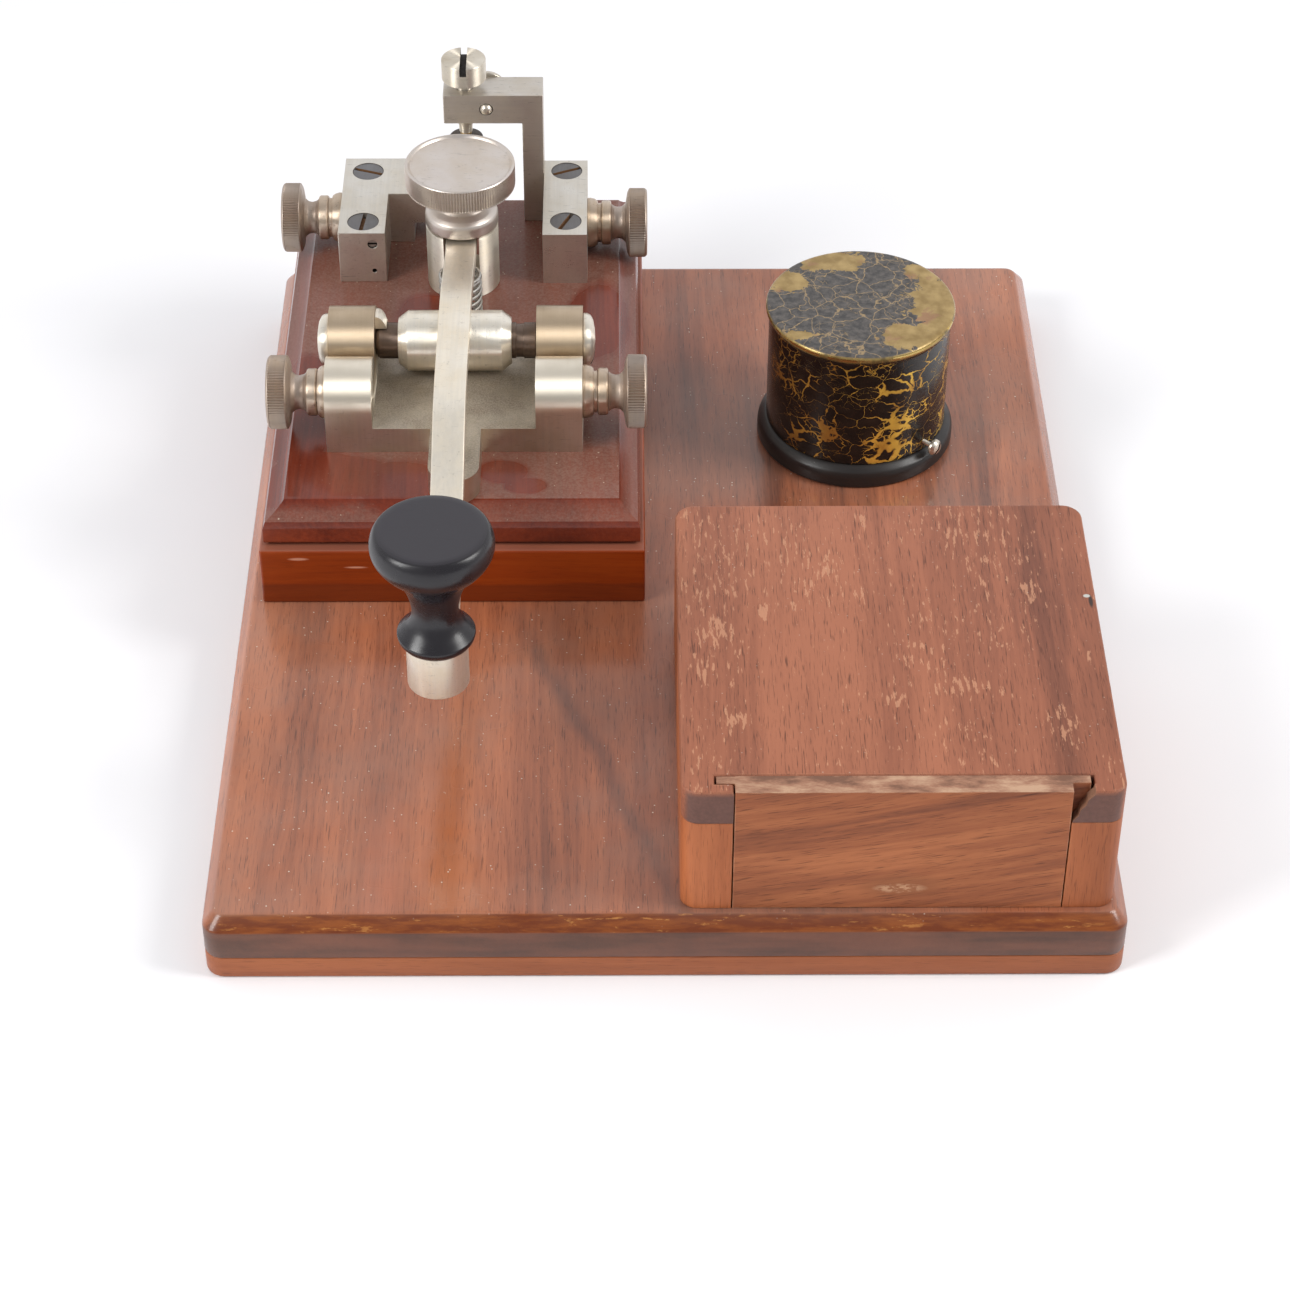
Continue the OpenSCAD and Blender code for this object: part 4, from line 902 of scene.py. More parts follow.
def post_outline():
    """A trunnion post from the side: the terminal's low round boss, then the axle's taller one."""
    r = 9.1
    return [(7.2, WT)] + arc(POST_Y, POST_Z, r, 180, -1, -6) + arc(AY, AZ, r, 180, -1, -6) + [(43.6, WT)]


def bore(x0, x1, y, z, r, mat):
    """A plain round cutter along X."""
    return rod("hole", r, 0, x1 - x0, (x0, y, z), mat, axis="x")


def trunnion():
    """One-piece frame, front anvil, collar segment and the two bearing screws."""
    o = prism("frame_piece", post_outline(), TX0, TX0 + 12, "x", NICKEL_F, "board", ["trunnion_frame"],
            0)
    cut(o, prism("post", post_outline(), TX1 - 12, TX1, "x", NICKEL_F, "board", width=0), op="UNION")
    cut(o, brick("web", TX0 + 6, TX1 - 6, 7.25, 43.55, WT, WEB_Z, NICKEL_F, "board", width=0), op="UNION")
    cx, cy, half = -52.3, -8.2, 6.5
    out = arc(cx, cy, half, 180, 361) + [(cx + half, 9), (cx - half, 9)]
    cut(o, prism("tongue", out, WT, WEB_Z, "z", NICKEL_F, "board", width=0), op="UNION")
    cut(o, bore(TX0 - 1, TX1 + 1, AY, AZ, 2.54, NICKEL_F))
    cut(o, bore(TX0 - 1, TX0 + 8, POST_Y, POST_Z, 1.9, NICKEL_F))
    cut(o, bore(TX1 - 8, TX1 + 1, POST_Y, POST_Z, 1.9, NICKEL_F))
    bevel(o, 0.4, 3, 40)
    rod("front_anvil_piece", 2.6, 53.3, 62.9, (KX, -6.4, 0), NICKEL_Z, "board", "z", 48,
            ["front_anvil"], 0.3)
    p = fillet([(5.0, 0), (8.6, 0), (8.4, 0.9), (7.9, 1.6), (7.0, 2.2), (5.4, 2.85), (5.0, 3),
            (5.0, 0)], 0.2, 3)
    o = lathe("lock_ring_piece", p, (-73.58, AY, AZ), NICKEL_T, "board", "x", 96, ["axle_lock_ring"])
    cut(o, brick("front", -75, -69, AY - 12, AY - 1.5, AZ - 12, AZ + 12, NICKEL_T, "board", width=0))
    cut(o, brick("below", -75, -69, AY - 12, AY + 12, AZ - 12, AZ, NICKEL_T, "board", width=0))
    for side, x, ax in (("left", TX0, "-x"), ("right", TX1, "x")):
        p = fillet([(0, -2.6), (2.5, -2.6), (2.5, 0.1), (7.1, 0.1), (7.1, 1.1), (6.6, 2), (5.3, 2.7),
                (3, 3.1), (0, 3.2)], 0.3)
        o = lathe(f"bearing_{side}_piece", p, (x, AY, AZ), NICKEL_T, f"bearing_screw_{side}", ax, 80,
                [f"bearing_screw_{side}"])
        s = -1 if side == "left" else 1
        slot_cut(o, (1.1, 9, 0.55), (x + s * 3.1, AY, AZ), [(35, "X")], SLOT_SHADE)


# ---------------------------------------------------------------- lever


# top line of the lever's bent part, as (y, z)
LEVER_MID = [(-79, 49.6), (-66, 51.5), (-46, 55.6), (-30, 59.6), (-20, 62.9), (-11, 66.6), (-3, 69.2),
        (6, 70.2), (16, 70.3), (28, 70.2), (41, 70.2), (50, 69.2), (60, 67), (68, 65.2), (76, 64.2),
        (86, 64.1), (96, 64.4), (103, 65.4), (110, 66.1)]


def lever():
    """The bent bar with its hub and axle, the knob group in front and the contact behind."""
    top = [(-85, 49.6), (-80.01, 49.6), (-79.99, 49.6)] + smooth_path(LEVER_MID, 8) + [(124.5, 66.1)]
    verts, faces = [], []
    for i, (y, z) in enumerate(top):
        deep = 3.0 if y < -80 else 3.7
        section = fillet([(-4.1, -deep), (4.1, -deep), (4.1, 0), (-4.1, 0)], 0.38, 3, True)
        verts += [(KX + u, y, z + v) for u, v in section]
    m = len(section)
    k = len(top)
    for i in range(k - 1):
        for j in range(m):
            faces.append([i * m + j, i * m + (j + 1) % m, (i + 1) * m + (j + 1) % m, (i + 1) * m + j])
    faces += [list(range(m)), [(k - 1) * m + j for j in range(m)]]
    o = finish_mesh("lever_piece", verts, faces, LEVER_M, "lever", ["lever"], 50)
    cut(o, rod("hole", 3, 55, 75, (KX, BARREL_Y, 0), LEVER_M), 50)
    cut(o, rod("hole", 1.52, 55, 75, (STOP_X, STOP_Y, 0), LEVER_M), 50)
    lathe("lever_end", fillet([(2.02, 46.6), (4.1, 46.6), (4.1, 49.6), (2.02, 49.6), (2.02, 46.6)],
            0.35), (KX, -85, 0), LEVER_M, "lever", "z", 64, ["lever"])
    h = fillet([(4.7, 0), (6.0, 0), (7.9, 2.5), (7.9, 26.9), (6.0, 29.4), (4.7, 29.4)], 0.2, 4)
    o = lathe("hub_piece", h, (KX - 14.7, AY, AZ), NICKEL_T, "lever", "x", 128, ["hub"])
    cut(o, brick("seat", KX - 4.12, KX + 4.12, 20, 50, 66.48, 80, NICKEL_T, "lever", width=0))
    p = fillet([(0, 0), (2.5, 0), (2.5, 9.25), (4.1, 9.25), (4.69, 10.0), (4.69, 45.4), (4.35, 45.5),
            (4.35, 47.4), (4.69, 47.5), (4.69, 50.55), (2.5, 50.55), (2.5, 59.8), (0, 59.8)], 0.12)
    lathe("axle_piece", p, (-82.6, AY, AZ), AXLE, "lever", "x", 80, ["axle"])
    line = smooth_path([(12, 95), (13.2, 94.5), (14.1, 92.8), (14.4, 90.5), (13.8, 88.2), (12, 85.5),
            (9.6, 83), (7.6, 80), (6.3, 76.6), (5.6, 73.2), (5.6, 70.6), (6.6, 68.2), (8.2, 66.2),
            (9.15, 65.1)], 7)
    lathe("knob_piece", [(0, 95), (6, 95), (11, 95)] + line + [(9.2, 64.6), (9, 63.7), (8.4, 62.8),
            (7.6, 62.2), (5.5, 62), (5.5, 51), (2.05, 51), (2.05, 68), (0, 68)], (KX, KNOB_Y, 0), BLACK,
            "lever", "z", 144, ["knob"], angle=45)
    f = fillet([(2.05, 49.61), (6.9, 49.61), (7.3, 50), (7.3, 61.7), (7.1, 61.95), (5.52, 61.95),
            (5.52, 50.9), (2.05, 50.9), (2.05, 49.61)], 0.15, 3)
    lathe("ferrule_piece", f, (KX, KNOB_Y, 0), FERRULE, "lever", "z", 96, ["knob_ferrule"])
    o = rod("knob_screw_piece", 2, 46.8, 66.8, (KX, KNOB_Y, 0), STEEL, "lever", "z", 48, ["knob_screw"],
            0.15)
    cut(o, brick("slot", KX - 4, KX + 4, KNOB_Y - 0.4, KNOB_Y + 0.4, 45.7, 47.5, SLOT_SHADE, "board", width=0))
    c = fillet([(0, 62.12), (2.2, 62.12), (2.2, 62.38), (1.5, 62.4), (1.5, 66.1), (3, 66.12), (3, 69.6),
            (4.4, 69.8), (4.8, 70.2), (4.6, 70.7), (2.5, 71), (0, 71)], 0.15, 2)
    lathe("rear_contact_piece", c, (STOP_X, STOP_Y, 0), DARK, "lever", "z", 64, ["rear_contact"])


# ---------------------------------------------------------------- rear pillars


def csk(x, y, turn, i):
    """Countersunk screw with its rusty slot."""
    p = fillet([(0, 57), (1.85, 57), (1.85, 59.5), (4.2, 61.68), (0, 61.72)], 0.12, 2)
    o = lathe(f"block_screw_{i}", p, (x, y, 0), BLUED, "board", "z", 64, ["block_screws"])
    slot_cut(o, (6, 0.55, 1.1), (x, y, BLOCK_Z), [(turn, "Z")], RUST)


def cone_holes(o, spots):
    """Countersunk holes for the block screws."""
    for x, y in spots:
        c = lathe("hole", [(0, 50), (2.1, 50), (2.1, 59.45), (4.32, 61.81), (4.32, 70), (0, 70)],
                (x, y, 0), DARK, "board", "z", 64)
        cut(o, c)


def pillars():
    """Rear blocks, gooseneck, and the screws in them."""
    left = [(-86.9, 84.5), (-74.1, 84.5), (-74.1, 104.1), (-67.4, 104.1), (-67.4, 122.3), (-86.9, 122.3)]
    o = prism("anvil_block_piece", left, WT, BLOCK_Z, "z", NICKEL_B, "board", ["anvil_block"], 0)
    cut(o, brick("bar", -69, -46.2, 104.1, 122.3, 52.2, BLOCK_Z, NICKEL_B, "board", width=0), op="UNION")
    cone_holes(o, [(-80.3, 90.3), (-80.3, 115.6)])
    cut(o, rod("hole", 1.3, 0, 4, (-77.6, 84.0, 58.2), SLOT_SHADE, "board", "y", 32))
    cut(o, rod("hole", 0.6, 0, 2, (-77.4, 84.0, 49.6), SLOT_SHADE, "board", "y", 24))
    cut(o, bore(-87.9, -78.9, 103.8, 54.3, 1.9, SLOT_SHADE))
    bevel(o, 0.22, 2, 40)
    rod("rear_anvil_piece", 2.6, 61.7, 62.1, (STOP_X, STOP_Y, 0), BRASS, "board", "z", 48,
            ["rear_anvil"], 0.12)
    o = rod("grub_piece", 1.25, 0.4, 3.6, (-77.6, 84.5, 58.2), STEEL, "board", "y", 32, ["grub_screws"],
            0.15)
    cut(o, brick("slot", -79.2, -76, 84.5, 85.6, 57.9, 58.5, SLOT_SHADE, "board", width=0))
    o = brick("gooseneck_block_piece", -31.2, -19.1, 83.6, 121, WT, BLOCK_Z, NICKEL_B, "board",
            ["gooseneck_block"], 0)
    cone_holes(o, [(-24.9, 90.3), (-24.9, 115.6)])
    cut(o, bore(-27.1, -18.1, 102, 53.6, 1.9, SLOT_SHADE))
    bevel(o, 0.22, 2, 40)
    hook = [(-37, WT), (-31.2, WT), (-31.2, 86.7), (-58.6, 86.7), (-58.6, 77.8), (-37, 77.8)]
    o = prism("gooseneck_piece", hook, 114.5, 124.5, "y", ARM, "board", ["gooseneck_arm"], 0)
    cut(o, rod("hole", 2.46, 70, 95, (STOP_X, STOP_Y, 0), DARK))
    cut(o, rod("hole", 1.8, 0, 20, (CLAMP_X, 110, CLAMP_Z), DARK, "board", "y", 48))
    bevel(o, 0.25, 2, 40)
    for i, (x, y, a) in enumerate(((-80.3, 115.6, -20), (-80.3, 90.3, 84), (-24.9, 115.6, 24),
            (-24.9, 90.3, 66))):
        csk(x, y, a, i)
    p = fillet([(0, 72.6), (1.8, 72.6), (1.9, 74.6), (2.4, 76.4), (2.4, 89.4), (5.9, 89.4), (6.1, 89.6),
            (6.1, 95.3), (5.9, 95.5), (0, 95.5)], 0.3, 3)
    o = lathe("stop_screw_piece", p, (STOP_X, STOP_Y, 0), NICKEL_Z, "stop_screw", "z", 96,
            ["stop_screw"])
    cut(o, brick("slot", -53.7, -51.9, 110, 129, 93.2, 99, SLOT_SHADE, "board", width=0))
    rod("stop_tip_piece", 1.6, 71.9, 72.6, (STOP_X, STOP_Y, 0), BRASS, "stop_screw", "z", 48,
            ["stop_tip"], 0.12)
    p = fillet([(0, 113.3), (1, 113.5), (1.6, 114.2), (1.72, 114.7), (1.72, 124.52), (5.4, 124.52),
            (5.6, 125.1), (5.2, 126.4), (3.6, 127.2), (0, 127.5)], 0.3, 3)
    o = lathe("clamp_screw_piece", p, (CLAMP_X, 0, CLAMP_Z), NICKEL, "clamp_screw", "y", 72,
            ["clamp_screw"])
    slot_cut(o, (8, 1.3, 0.6), (CLAMP_X, 127.5, CLAMP_Z), [(-25, "Y")], SLOT_SHADE)


def barrel():
    """Slotted barrel with its stud, springs and the tension knob."""
    p = fillet([(1.9, WT), (9.8, WT), (9.8, 64.6), (6.4, 64.6), (6.4, 50), (1.9, 50), (1.9, WT)], 0.3, 3)
    o = lathe("barrel_piece", p, (KX, BARREL_Y, 0), NICKEL_Z, "board", "z", 128, ["spring_barrel"])
    cut(o, brick("slot", KX - 4.8, KX + 4.8, 70, 100, 48, 70, NICKEL, "board", width=0))
    bevel(o, 0.12, 2, 40)
    lathe("tension_stud_piece", fillet([(0, 46.2), (1.86, 46.2), (1.86, 48), (3.4, 48), (3.4, 50.2),
            (1.86, 50.2), (1.86, 80), (0, 80)], 0.2), (KX, BARREL_Y, 0), STEEL, "board", "z", 48,
            ["tension_stud"])
    helix("pull_spring_piece", KX, 67, 46.05, 60.6, 5.3, 0.5, 8, STEEL, "board", ["pull_spring"])
    helix("tension_spring_piece", KX, BARREL_Y, 64.9, 68.9, 4.3, 0.4, 3, STEEL, "board",
            ["tension_spring"])
    lathe("spring_cup_piece", fillet([(2.2, 69.3), (5.1, 69.3), (5.1, 70.1), (2.2, 70.1), (2.2, 69.3)],
            0.15, 2), (KX, BARREL_Y, 0), BRASS, "tension_carrier", "z", 64, ["spring_cup"])
    p = [(0, 83), (13.4, 83)] + fillet([(13.4, 83), (13.9, 83.6), (14.4, 83.7), (14.8, 83.3),
            (14.8, 77.2), (14.4, 76.8), (6.6, 76.3), (5.8, 75.4), (5.6, 73.6), (6, 72), (7, 70.8),
            (8.6, 69.9), (9.6, 69.1), (9.9, 68.2), (9.9, 65.6), (9.5, 65.05), (5.3, 65.05), (5.3, 70.2),
            (1.9, 70.2), (1.9, 81)], 0.25, 3)[1:]
    p += [(0, 81)]
    lathe("tension_knob_piece", p, (KX, BARREL_Y, 0), KNOB_M, "tension_knob", "z", 480,
            ["tension_knob"], knurled(14.8, 77.15, 83.3, 0.45, 4))


def terminal(tag, x, y, z, s, c, g, wx, nx):
    """Collar c long and shoulder g long on the stud; washer and nut stand wx and nx off the face."""
    ax = "x" if s > 0 else "-x"
    r = 1.86
    end = 11.4 if nx < 6 else 13
    p = fillet([(0, -7.5), (r, -7.5), (r, 0.02), (6.8, 0.02), (6.9, 0.3 * c), (6.6, 0.7 * c),
            (6.1, c - 0.1), (5.4, c), (5.4, c + g), (r, c + g), (r, end), (0, end)], 0.2, 3)
    lathe(f"stud_{tag}", p, (x, y, z), TERM, "board", ax, 80, ["terminal_studs"])
    lathe(f"washer_{tag}_piece", fillet([(1.93, 0), (5.8, 0), (6.1, 0.35), (6.1, 2.3), (5.7, 2.7),
            (1.93, 2.7), (1.93, 0)], 0.25, 3), (x + s * wx, y, z), TERM, "board", ax, 80,
            [f"washer_{tag}"])
    p = fillet([(1.93, 0), (5.2, 0), (4.6, 0.7), (4.3, 1.8), (4.5, 2.9), (5.4, 3.9), (8.4, 4.4),
            (9.4, 4.9), (9.5, 5.2), (9.5, 9.1), (9.3, 9.55), (8.8, 9.9), (0, 9.9)], 0.3, 3)
    p += [(0, 6.9), (1.93, 6.9), (1.93, 0)]
    lathe(f"nut_{tag}_piece", p, (x + s * nx, y, z), BROWNED, f"nut_{tag}", ax, 320, [f"nut_{tag}"],
            knurled(9.5, 5.0, 9.4, 0.45, 4))


# ---------------------------------------------------------------- buzzer


# centre of the buzzer, top of its base, and the direction of the cap's side screw
BX, BY = 53.8, 53.7
DECK = 28.8
CAP_SCREW_TURN = -44


def buzzer():
    """Base, cap and side screw, with the iron frame, coils, reed and contact inside."""
    p = fillet([(0, 18.02), (25.9, 18.02), (26.5, 18.6), (26.5, 21.6), (26.0, 22.8), (24.9, 23.8),
            (24.3, 24.2), (23.1, 24.2), (23.1, 28.2), (22.4, 28.8), (0, 28.8)], 0.5, 4)
    lathe("buzzer_base_piece", p, (BX, BY, 0), BLACK_BASE, "board", "z", 160, ["buzzer_base"])
    p = fillet([(0, 60.1), (24.0, 60.1), (24.8, 59.8), (25.2, 59.1), (25.1, 58.3), (24.3, 57.1),
            (24.2, 56.5), (24.2, 24.25), (23.4, 24.25), (23.4, 59.3), (0, 59.3)], 0.5, 4)
    o = lathe("buzzer_cap_piece", p, (BX, BY, 0), CRACKLE, "buzzer_cap", "z", 192, ["buzzer_cap"])
    a = math.radians(CAP_SCREW_TURN)
    d = (math.cos(a), math.sin(a), 0)
    z = 26.6
    cut(o, rod("hole", 0.75, 21.4, 25.4, (BX, BY, z), CRACKLE, "board", d, 32))
    p = [(0, 23.2), (0.60, 23.2)]
    for k in range(10):
        p += [(0.69, 23.35 + k * 0.4), (0.58, 23.55 + k * 0.4)]
    p += fillet([(0.7, 27.39), (0.7, 27.4), (2.2, 27.4), (2.2, 28.2), (1.6, 29), (0, 29.4)], 0.2, 3)
    o = lathe("cap_screw_piece", p, (BX, BY, z), NICKEL, "cap_screw", d, 48, ["cap_screw"])
    head = (BX + 29.2 * d[0], BY + 29.2 * d[1], z)
    slot_cut(o, (0.5, 3, 0.3), head, [(CAP_SCREW_TURN, "Z"), (50, "X")], SLOT_SHADE)
    brick("buzzer_yoke", BX - 16, BX + 16, BY - 5, BY + 5, DECK + 0.01, DECK + 2, DARK, "board",
            ["buzzer_frame"])
    brick("buzzer_upright", BX - 17.6, BX - 16, BY - 5, BY + 5, DECK + 0.01, DECK + 20.2, DARK, "board",
            ["buzzer_frame"])
    for i, x in enumerate((BX - 8.4, BX + 8.4)):
        rod(f"core_{i}", 3, DECK + 1, DECK + 17, (x, BY, 0), STEEL, "board", "z", 48, ["buzzer_frame"],
                0.3)
        for k, h in enumerate((2.0, 14.4)):
            lathe(f"bobbin_{i}_{k}", fillet([(3.02, DECK + h), (7.8, DECK + h), (7.8, DECK + h + 1),
                    (3.02, DECK + h + 1), (3.02, DECK + h)], 0.2), (x, BY, 0), BLACK_BASE, "board", "z",
                    64, ["buzzer_coils"])
        w = [(3.02, DECK + 3.02)]
        for k in range(26):
            w += [(6.75, DECK + 3.05 + k * 0.436), (7.0, DECK + 3.25 + k * 0.436)]
        lathe(f"winding_{i}", w + [(6.8, DECK + 14.38), (3.02, DECK + 14.38), w[0]], (x, BY, 0), GREEN,
                "board", "z", 64, ["buzzer_coils"], angle=80)
    brick("reed_piece", BX - 14.3, BX + 14.6, BY - 4, BY + 4, DECK + 18, DECK + 20, STEEL,
            "buzzer_reed", ["buzzer_reed"], 0.2)
    rod("reed_eye", 1.5, -4, 4, (BX - 14.3, BY, DECK + 19), STEEL, "buzzer_reed", "y", 48,
            ["buzzer_reed"], 0.15)
    prism("contact_post_piece", [(BX + 18.6, DECK), (BX + 18.6, DECK + 24.2), (BX + 8, DECK + 24.2),
            (BX + 8, DECK + 22.4), (BX + 16.6, DECK + 22.4), (BX + 16.6, DECK)], BY - 4, BY + 4, "y",
            BRASS, "board", ["buzzer_contact"], 0.2)
    rod("contact_tip", 1.1, DECK + 20.5, DECK + 23, (BX + 11, BY, 0), BRASS, "board", "z", 32,
            ["buzzer_contact"], 0.15)


# ---------------------------------------------------------------- battery box


def box():
    """Battery box with its notched top board, sides, door, contacts and battery."""
    x0, x1, y0, y1, z0, z1, zd = 3.4, 104.0, -130.4, -26.0, 18.01, 54.6, 45.0
    dx0, dx1 = 15.5, 91.6
    # the door's grooves
    gx0, gx1, gy0, gy1 = 10.9, 96.7, -127.6, -124.5

    def top_ring(i):
        """Top board in plan, i mm inside, with the door's notch."""
        pts = []
        for back, cx, cy, a0 in ((0, x1, y0, -90), (1, x1, y1, 0), (1, x0, y1, 90), (0, x0, y0, 180)):
            q = 4.8 if back else 4.0
            ax = cx - q if cx > 50 else cx + q
            ay = cy - q if back else cy + q
            for k in range(8):
                a = math.radians(a0 + 90 * k / 7)
                pts.append((ax + (q - i) * math.cos(a), ay + (q - i) * math.sin(a)))
        return pts + [(dx0 - 0.3 - i, y0 + i), (dx0 - 0.3 - i, gy0), (gx0 - i, gy0), (gx0 - i, gy1 + i),
                (gx1 + i, gy1 + i), (gx1 + i, gy0), (dx1 + 0.3 + i, gy0), (dx1 + 0.3 + i, y0 + i)]
    rows = [(0.12, zd), (0.0, zd + 0.15), (0.0, z1 - 0.75), (0.12, z1 - 0.35), (0.4, z1 - 0.1), (0.8, z1)]
    o = layers("box_top_piece", [(top_ring(i), z) for i, z in rows], BOX, "board", ["box_top_board"])
    chip = prism("chip", [(dx1 - 1, zd - 1), (dx1 + 0.2, zd - 1), (dx1 + 0.5, zd + 0.6),
            (dx1 + 1.7, zd + 2.2), (dx1 + 1.9, zd + 3.8), (dx1 + 3.1, z1 - 4.2), (dx1 + 3.5, z1 - 2.6),
            (dx1 + 4.7, z1 - 1.2), (dx1 + 5.2, z1 + 1), (dx1 - 1, z1 + 1)], y0 - 1, -127.0, "y", RAW,
            "board", width=0)
    cut(o, chip, 25)
    full = round_rect(x0, x1, y0, y1, 4.0, 7)
    ring = [p for p in full if p[0] < 50 and p[1] > -60] + [p for p in full if p[0] < 50 and p[1] < -60]
    ring += [(15.2, y0), (15.2, gy0), (gx0, gy0), (gx0, gy1), (15.4, gy1), (15.4, y1)]
    prism("box_left_piece", ring, z0, zd - 0.02, "z", BOX_SIDE, "board", ["box_left_board"],
            0.2)
    ring = [p for p in full if p[0] > 50 and p[1] < -60] + [p for p in full if p[0] > 50 and p[1] > -60]
    ring += [(92.0, y1), (92.0, gy1), (gx1, gy1), (gx1, gy0), (91.9, gy0), (91.9, y0)]
    prism("box_right_piece", ring, z0, zd - 0.02, "z", BOX_SIDE, "board", ["box_right_board"],
            0.2)
    brick("box_back_piece", 15.4, 92.0, -35, -26, z0, zd - 0.02, BOX_SIDE, "board", ["box_back_board"],
            0.2)
    ring = [(dx0, y0), (dx1, y0), (dx1, -127.3), (95.8, -127.3), (95.8, -124.9), (dx1, -124.9),
            (dx1, -124.8), (dx0, -124.8), (dx0, -124.9), (11.3, -124.9), (11.3, -127.3), (dx0, -127.3)]
    prism("door_piece", ring, 18.2, z1, "z", DOOR, "door", ["box_door"], 0.3, 3)
    for i, x in enumerate((53.7 - 13, 53.7 + 13)):
        brick(f"contact_plate_{i}", x - 4, x + 4, -35.8, -35.0, 22, 42, BRASS, "board",
                ["box_contacts"], 0.15)
        leaf = [(-35.7, 42), (-35.7, 40.8), (-42.6, 32.6), (-38.2, 23), (-39, 22.8), (-43.6, 32.6)]
        prism(f"contact_leaf_{i}", leaf, x - 3.8, x + 3.8, "x", BRASS, "board", ["box_contacts"],
                0.1)
        brick(f"battery_strip_{i}", x - 3, x + 3, -44.2, -43.62, 28.4, 37, BRASS, "board",
                ["battery_strips"], 0.12)
    brick("battery_piece", 22.7, 84.7, -111.6, -44.2, 18.05, 38.6, CARD, "board", ["battery"],
            0.8)
    brick("battery_top", 22.7, 84.7, -111.6, -45.4, 38.5, 40.0, BLACK_BASE, "board", ["battery"],
            0.5)


# where the wood screws stand, under the key and under the box
HOLD = [(-89, 0), (-17, 0), (-89, 112), (-17, 112)]
BOX_HOLD = [(9.4, -112), (9.4, -45), (98, -112), (98, -45)]


def wood_screws():
    """Screws up from below into the key base and the box."""
    k = 0
    for group, top, spots in (("key_hold_screws", 29, HOLD), ("box_screws", 31, BOX_HOLD)):
        for x, y in spots:
            p = [(0, 0.3), (4, 0.3), (1.9, 3.3)]
            z = 4.0
            while z < top - 4:
                p += [(1.35, z), (1.88, z + 0.55)]
                z += 1.1
            p += [(1.2, z), (0, top)]
            o = lathe(f"wood_screw_{k}", p, (x, y, 0), STEEL, "board", "z", 32, [group])
            cut(o, brick("slot", x - 6, x + 6, y - 0.5, y + 0.5, -1, 1.1, SLOT_SHADE, "board", width=0))
            k += 1


def holes_below():
    """Countersunk holes in the two boards for the wood screws."""
    names = {o.name: o for o in PIECES}
    for x, y in HOLD + BOX_HOLD:
        for n in ("board_low_piece", "board_up_piece"):
            c = lathe("hole", [(0, -1), (4.8, -1), (4.5, 0), (2, 3.5), (2, 17), (0, 17)], (x, y, 0),
                    BOARD_LOW, "board", "z", 40)
            cut(names[n], c, 25)


boards()
key_base()
trunnion()
lever()
pillars()
barrel()
terminal("front_left", TX0, POST_Y, POST_Z, -1, 2.1, 0.1, 2.25, 5)
terminal("front_right", TX1, POST_Y, POST_Z, 1, 2.9, 0.95, 3.9, 6.65)
terminal("rear_left", -86.9, 103.8, 54.3, -1, 2.9, 0.95, 3.9, 6.65)
terminal("rear_right", -19.1, 102, 53.6, 1, 2.9, 0.95, 3.9, 6.65)
buzzer()
box()
wood_screws()
holes_below()
for o in PIECES:
    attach(o, o["body"])

# ---------------------------------------------------------------- studio


def floor():
    """Plain pale floor."""
    g = Graph("floor")
    n = g.noise(scale=0.02, detail=3)
    g.set(color=g.mix(g.span(n, 0.3, 0.7), (0.915, 0.915, 0.935), (0.93, 0.93, 0.945)), rough=0.85,
            spec=0.1)
    me = bpy.data.meshes.new("floor")
    me.from_pydata([(-4, -4, 0), (4, -4, 0), (4, 4, 0), (-4, 4, 0)], [], [(0, 1, 2, 3)])
    o = bpy.data.objects.new("floor", me)
    me.materials.append(g.mat)
    bpy.context.scene.collection.objects.link(o)


def light(name, at, aim, wide, tall, power, tint):
    """Softbox at one place, aimed at another."""
    d = bpy.data.lights.new(name, "AREA")
    d.energy = power
    d.color = tint
    d.shape = "RECTANGLE"
    d.size = wide
    d.size_y = tall
    o = bpy.data.objects.new(name, d)
    o.location = at
    o.rotation_euler = (Vector(aim) - Vector(at)).to_track_quat("-Z", "Y").to_euler()
    bpy.context.scene.collection.objects.link(o)


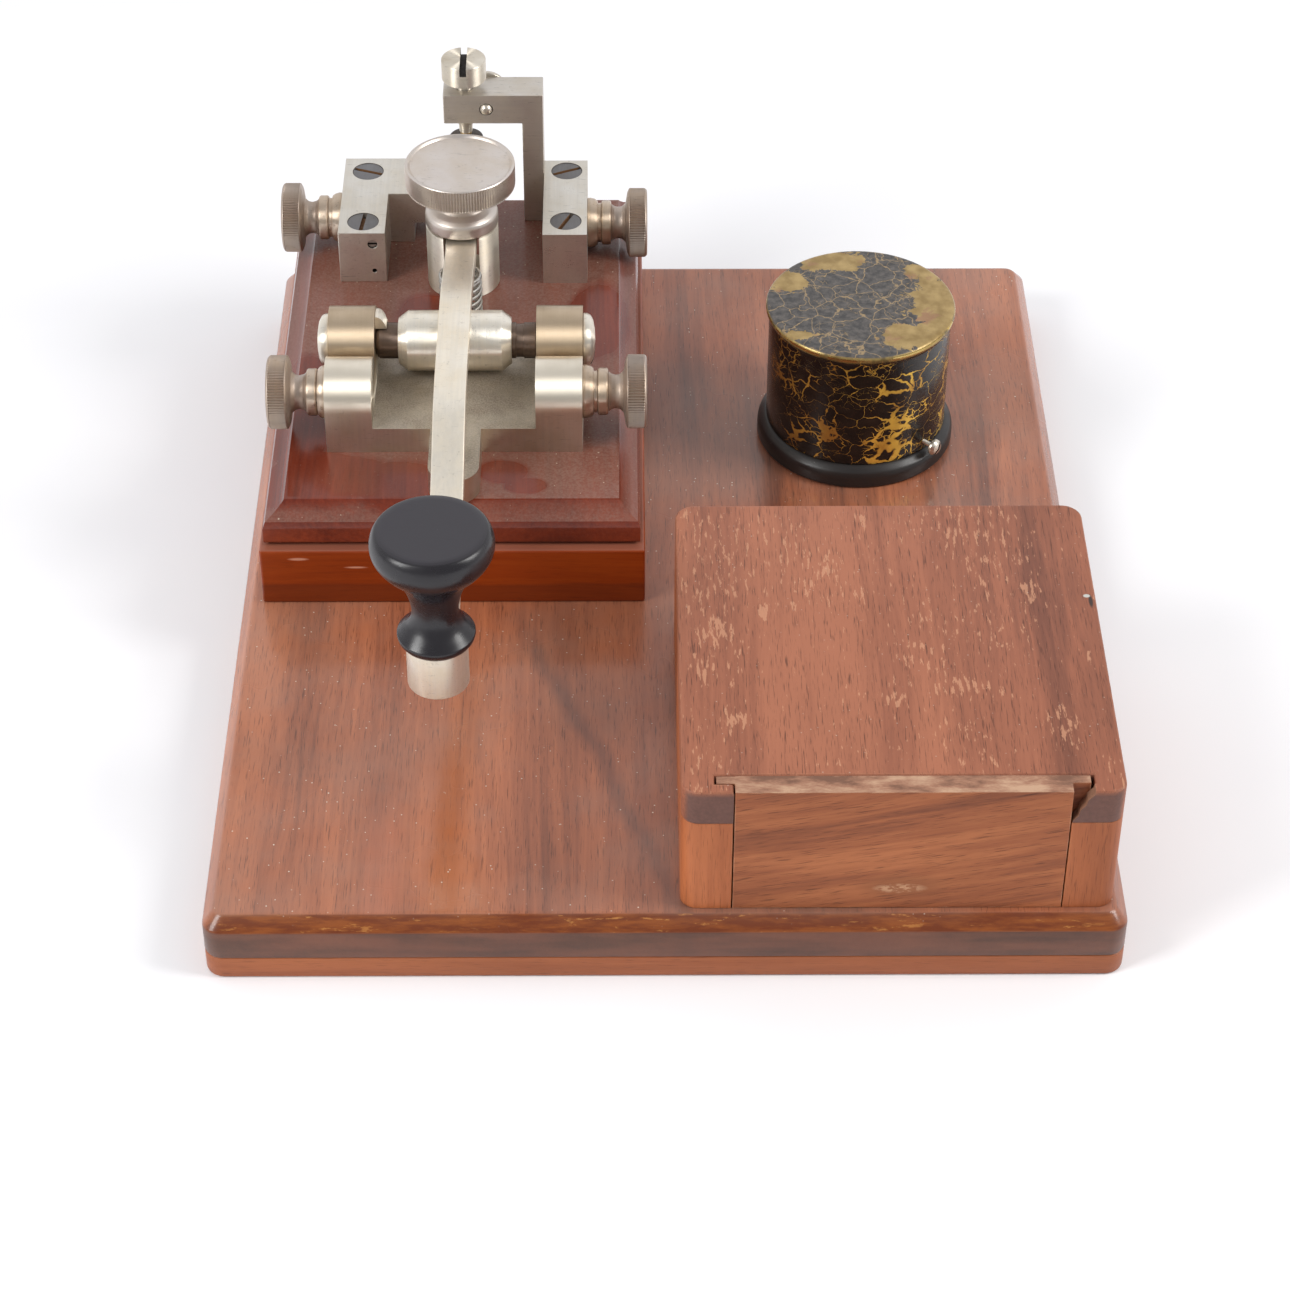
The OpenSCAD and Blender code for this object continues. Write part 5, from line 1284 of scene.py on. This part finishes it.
def sky(w):
    """White room: brightest behind the object, dimmer towards the front and overhead."""
    t = w.node_tree
    bg = t.nodes["Background"]
    tc = t.nodes.new("ShaderNodeTexCoord")
    s = t.nodes.new("ShaderNodeSeparateXYZ")
    t.links.new(tc.outputs["Generated"], s.inputs[0])
    out = []
    for axis, a, b, c, d in ((1, -0.5, 0.6, 0.43, 0.95), (2, 0.70, 1.0, 1.0, 0.80)):
        m = t.nodes.new("ShaderNodeMapRange")
        for k, val in zip(("From Min", "From Max", "To Min", "To Max"), (a, b, c, d)):
            m.inputs[k].default_value = val
        t.links.new(s.outputs[axis], m.inputs["Value"])
        out.append(m.outputs[0])
    x = t.nodes.new("ShaderNodeMath")
    x.operation = "MULTIPLY"
    t.links.new(out[0], x.inputs[0])
    t.links.new(out[1], x.inputs[1])
    t.links.new(x.outputs[0], bg.inputs[1])
    bg.inputs[0].default_value = (0.97, 0.975, 1.0, 1)


def studio():
    """White room and two softboxes."""
    w = bpy.data.worlds.new("studio")
    w.use_nodes = True
    sky(w)
    bpy.context.scene.world = w
    light("left", (-0.95, -0.55, 0.75), (-0.02, 0, 0.03), 0.45, 0.75, 10.0, (1.0, 1.0, 0.99))
    light("right", (1.0, -0.22, 0.80), (0, 0, 0.03), 0.45, 0.75, 9.5, (1.0, 0.99, 0.97))
    bpy.context.scene.view_settings.view_transform = "Standard"


def camera():
    """Long lens, looking down on the key from in front."""
    cam = bpy.data.cameras.new("camera")
    o = bpy.data.objects.new("camera", cam)
    cam.sensor_width = 36
    cam.lens = 92.457
    cam.clip_end = 20
    p, yaw, roll = 0.7094441, 0.0092932, 0.00335
    fwd = Vector((math.sin(yaw) * math.cos(p), math.cos(yaw) * math.cos(p), -math.sin(p)))
    right = Vector((math.cos(yaw), -math.sin(yaw), 0))
    up = right.cross(fwd)
    r2 = math.cos(roll) * right + math.sin(roll) * up
    u2 = -math.sin(roll) * right + math.cos(roll) * up
    m = Matrix((r2, u2, -fwd)).transposed().to_4x4()
    m.translation = (-0.0099456, -0.6725657, 0.5639737)
    o.matrix_world = m
    bpy.context.scene.collection.objects.link(o)
    bpy.context.scene.camera = o


floor()
studio()
camera()
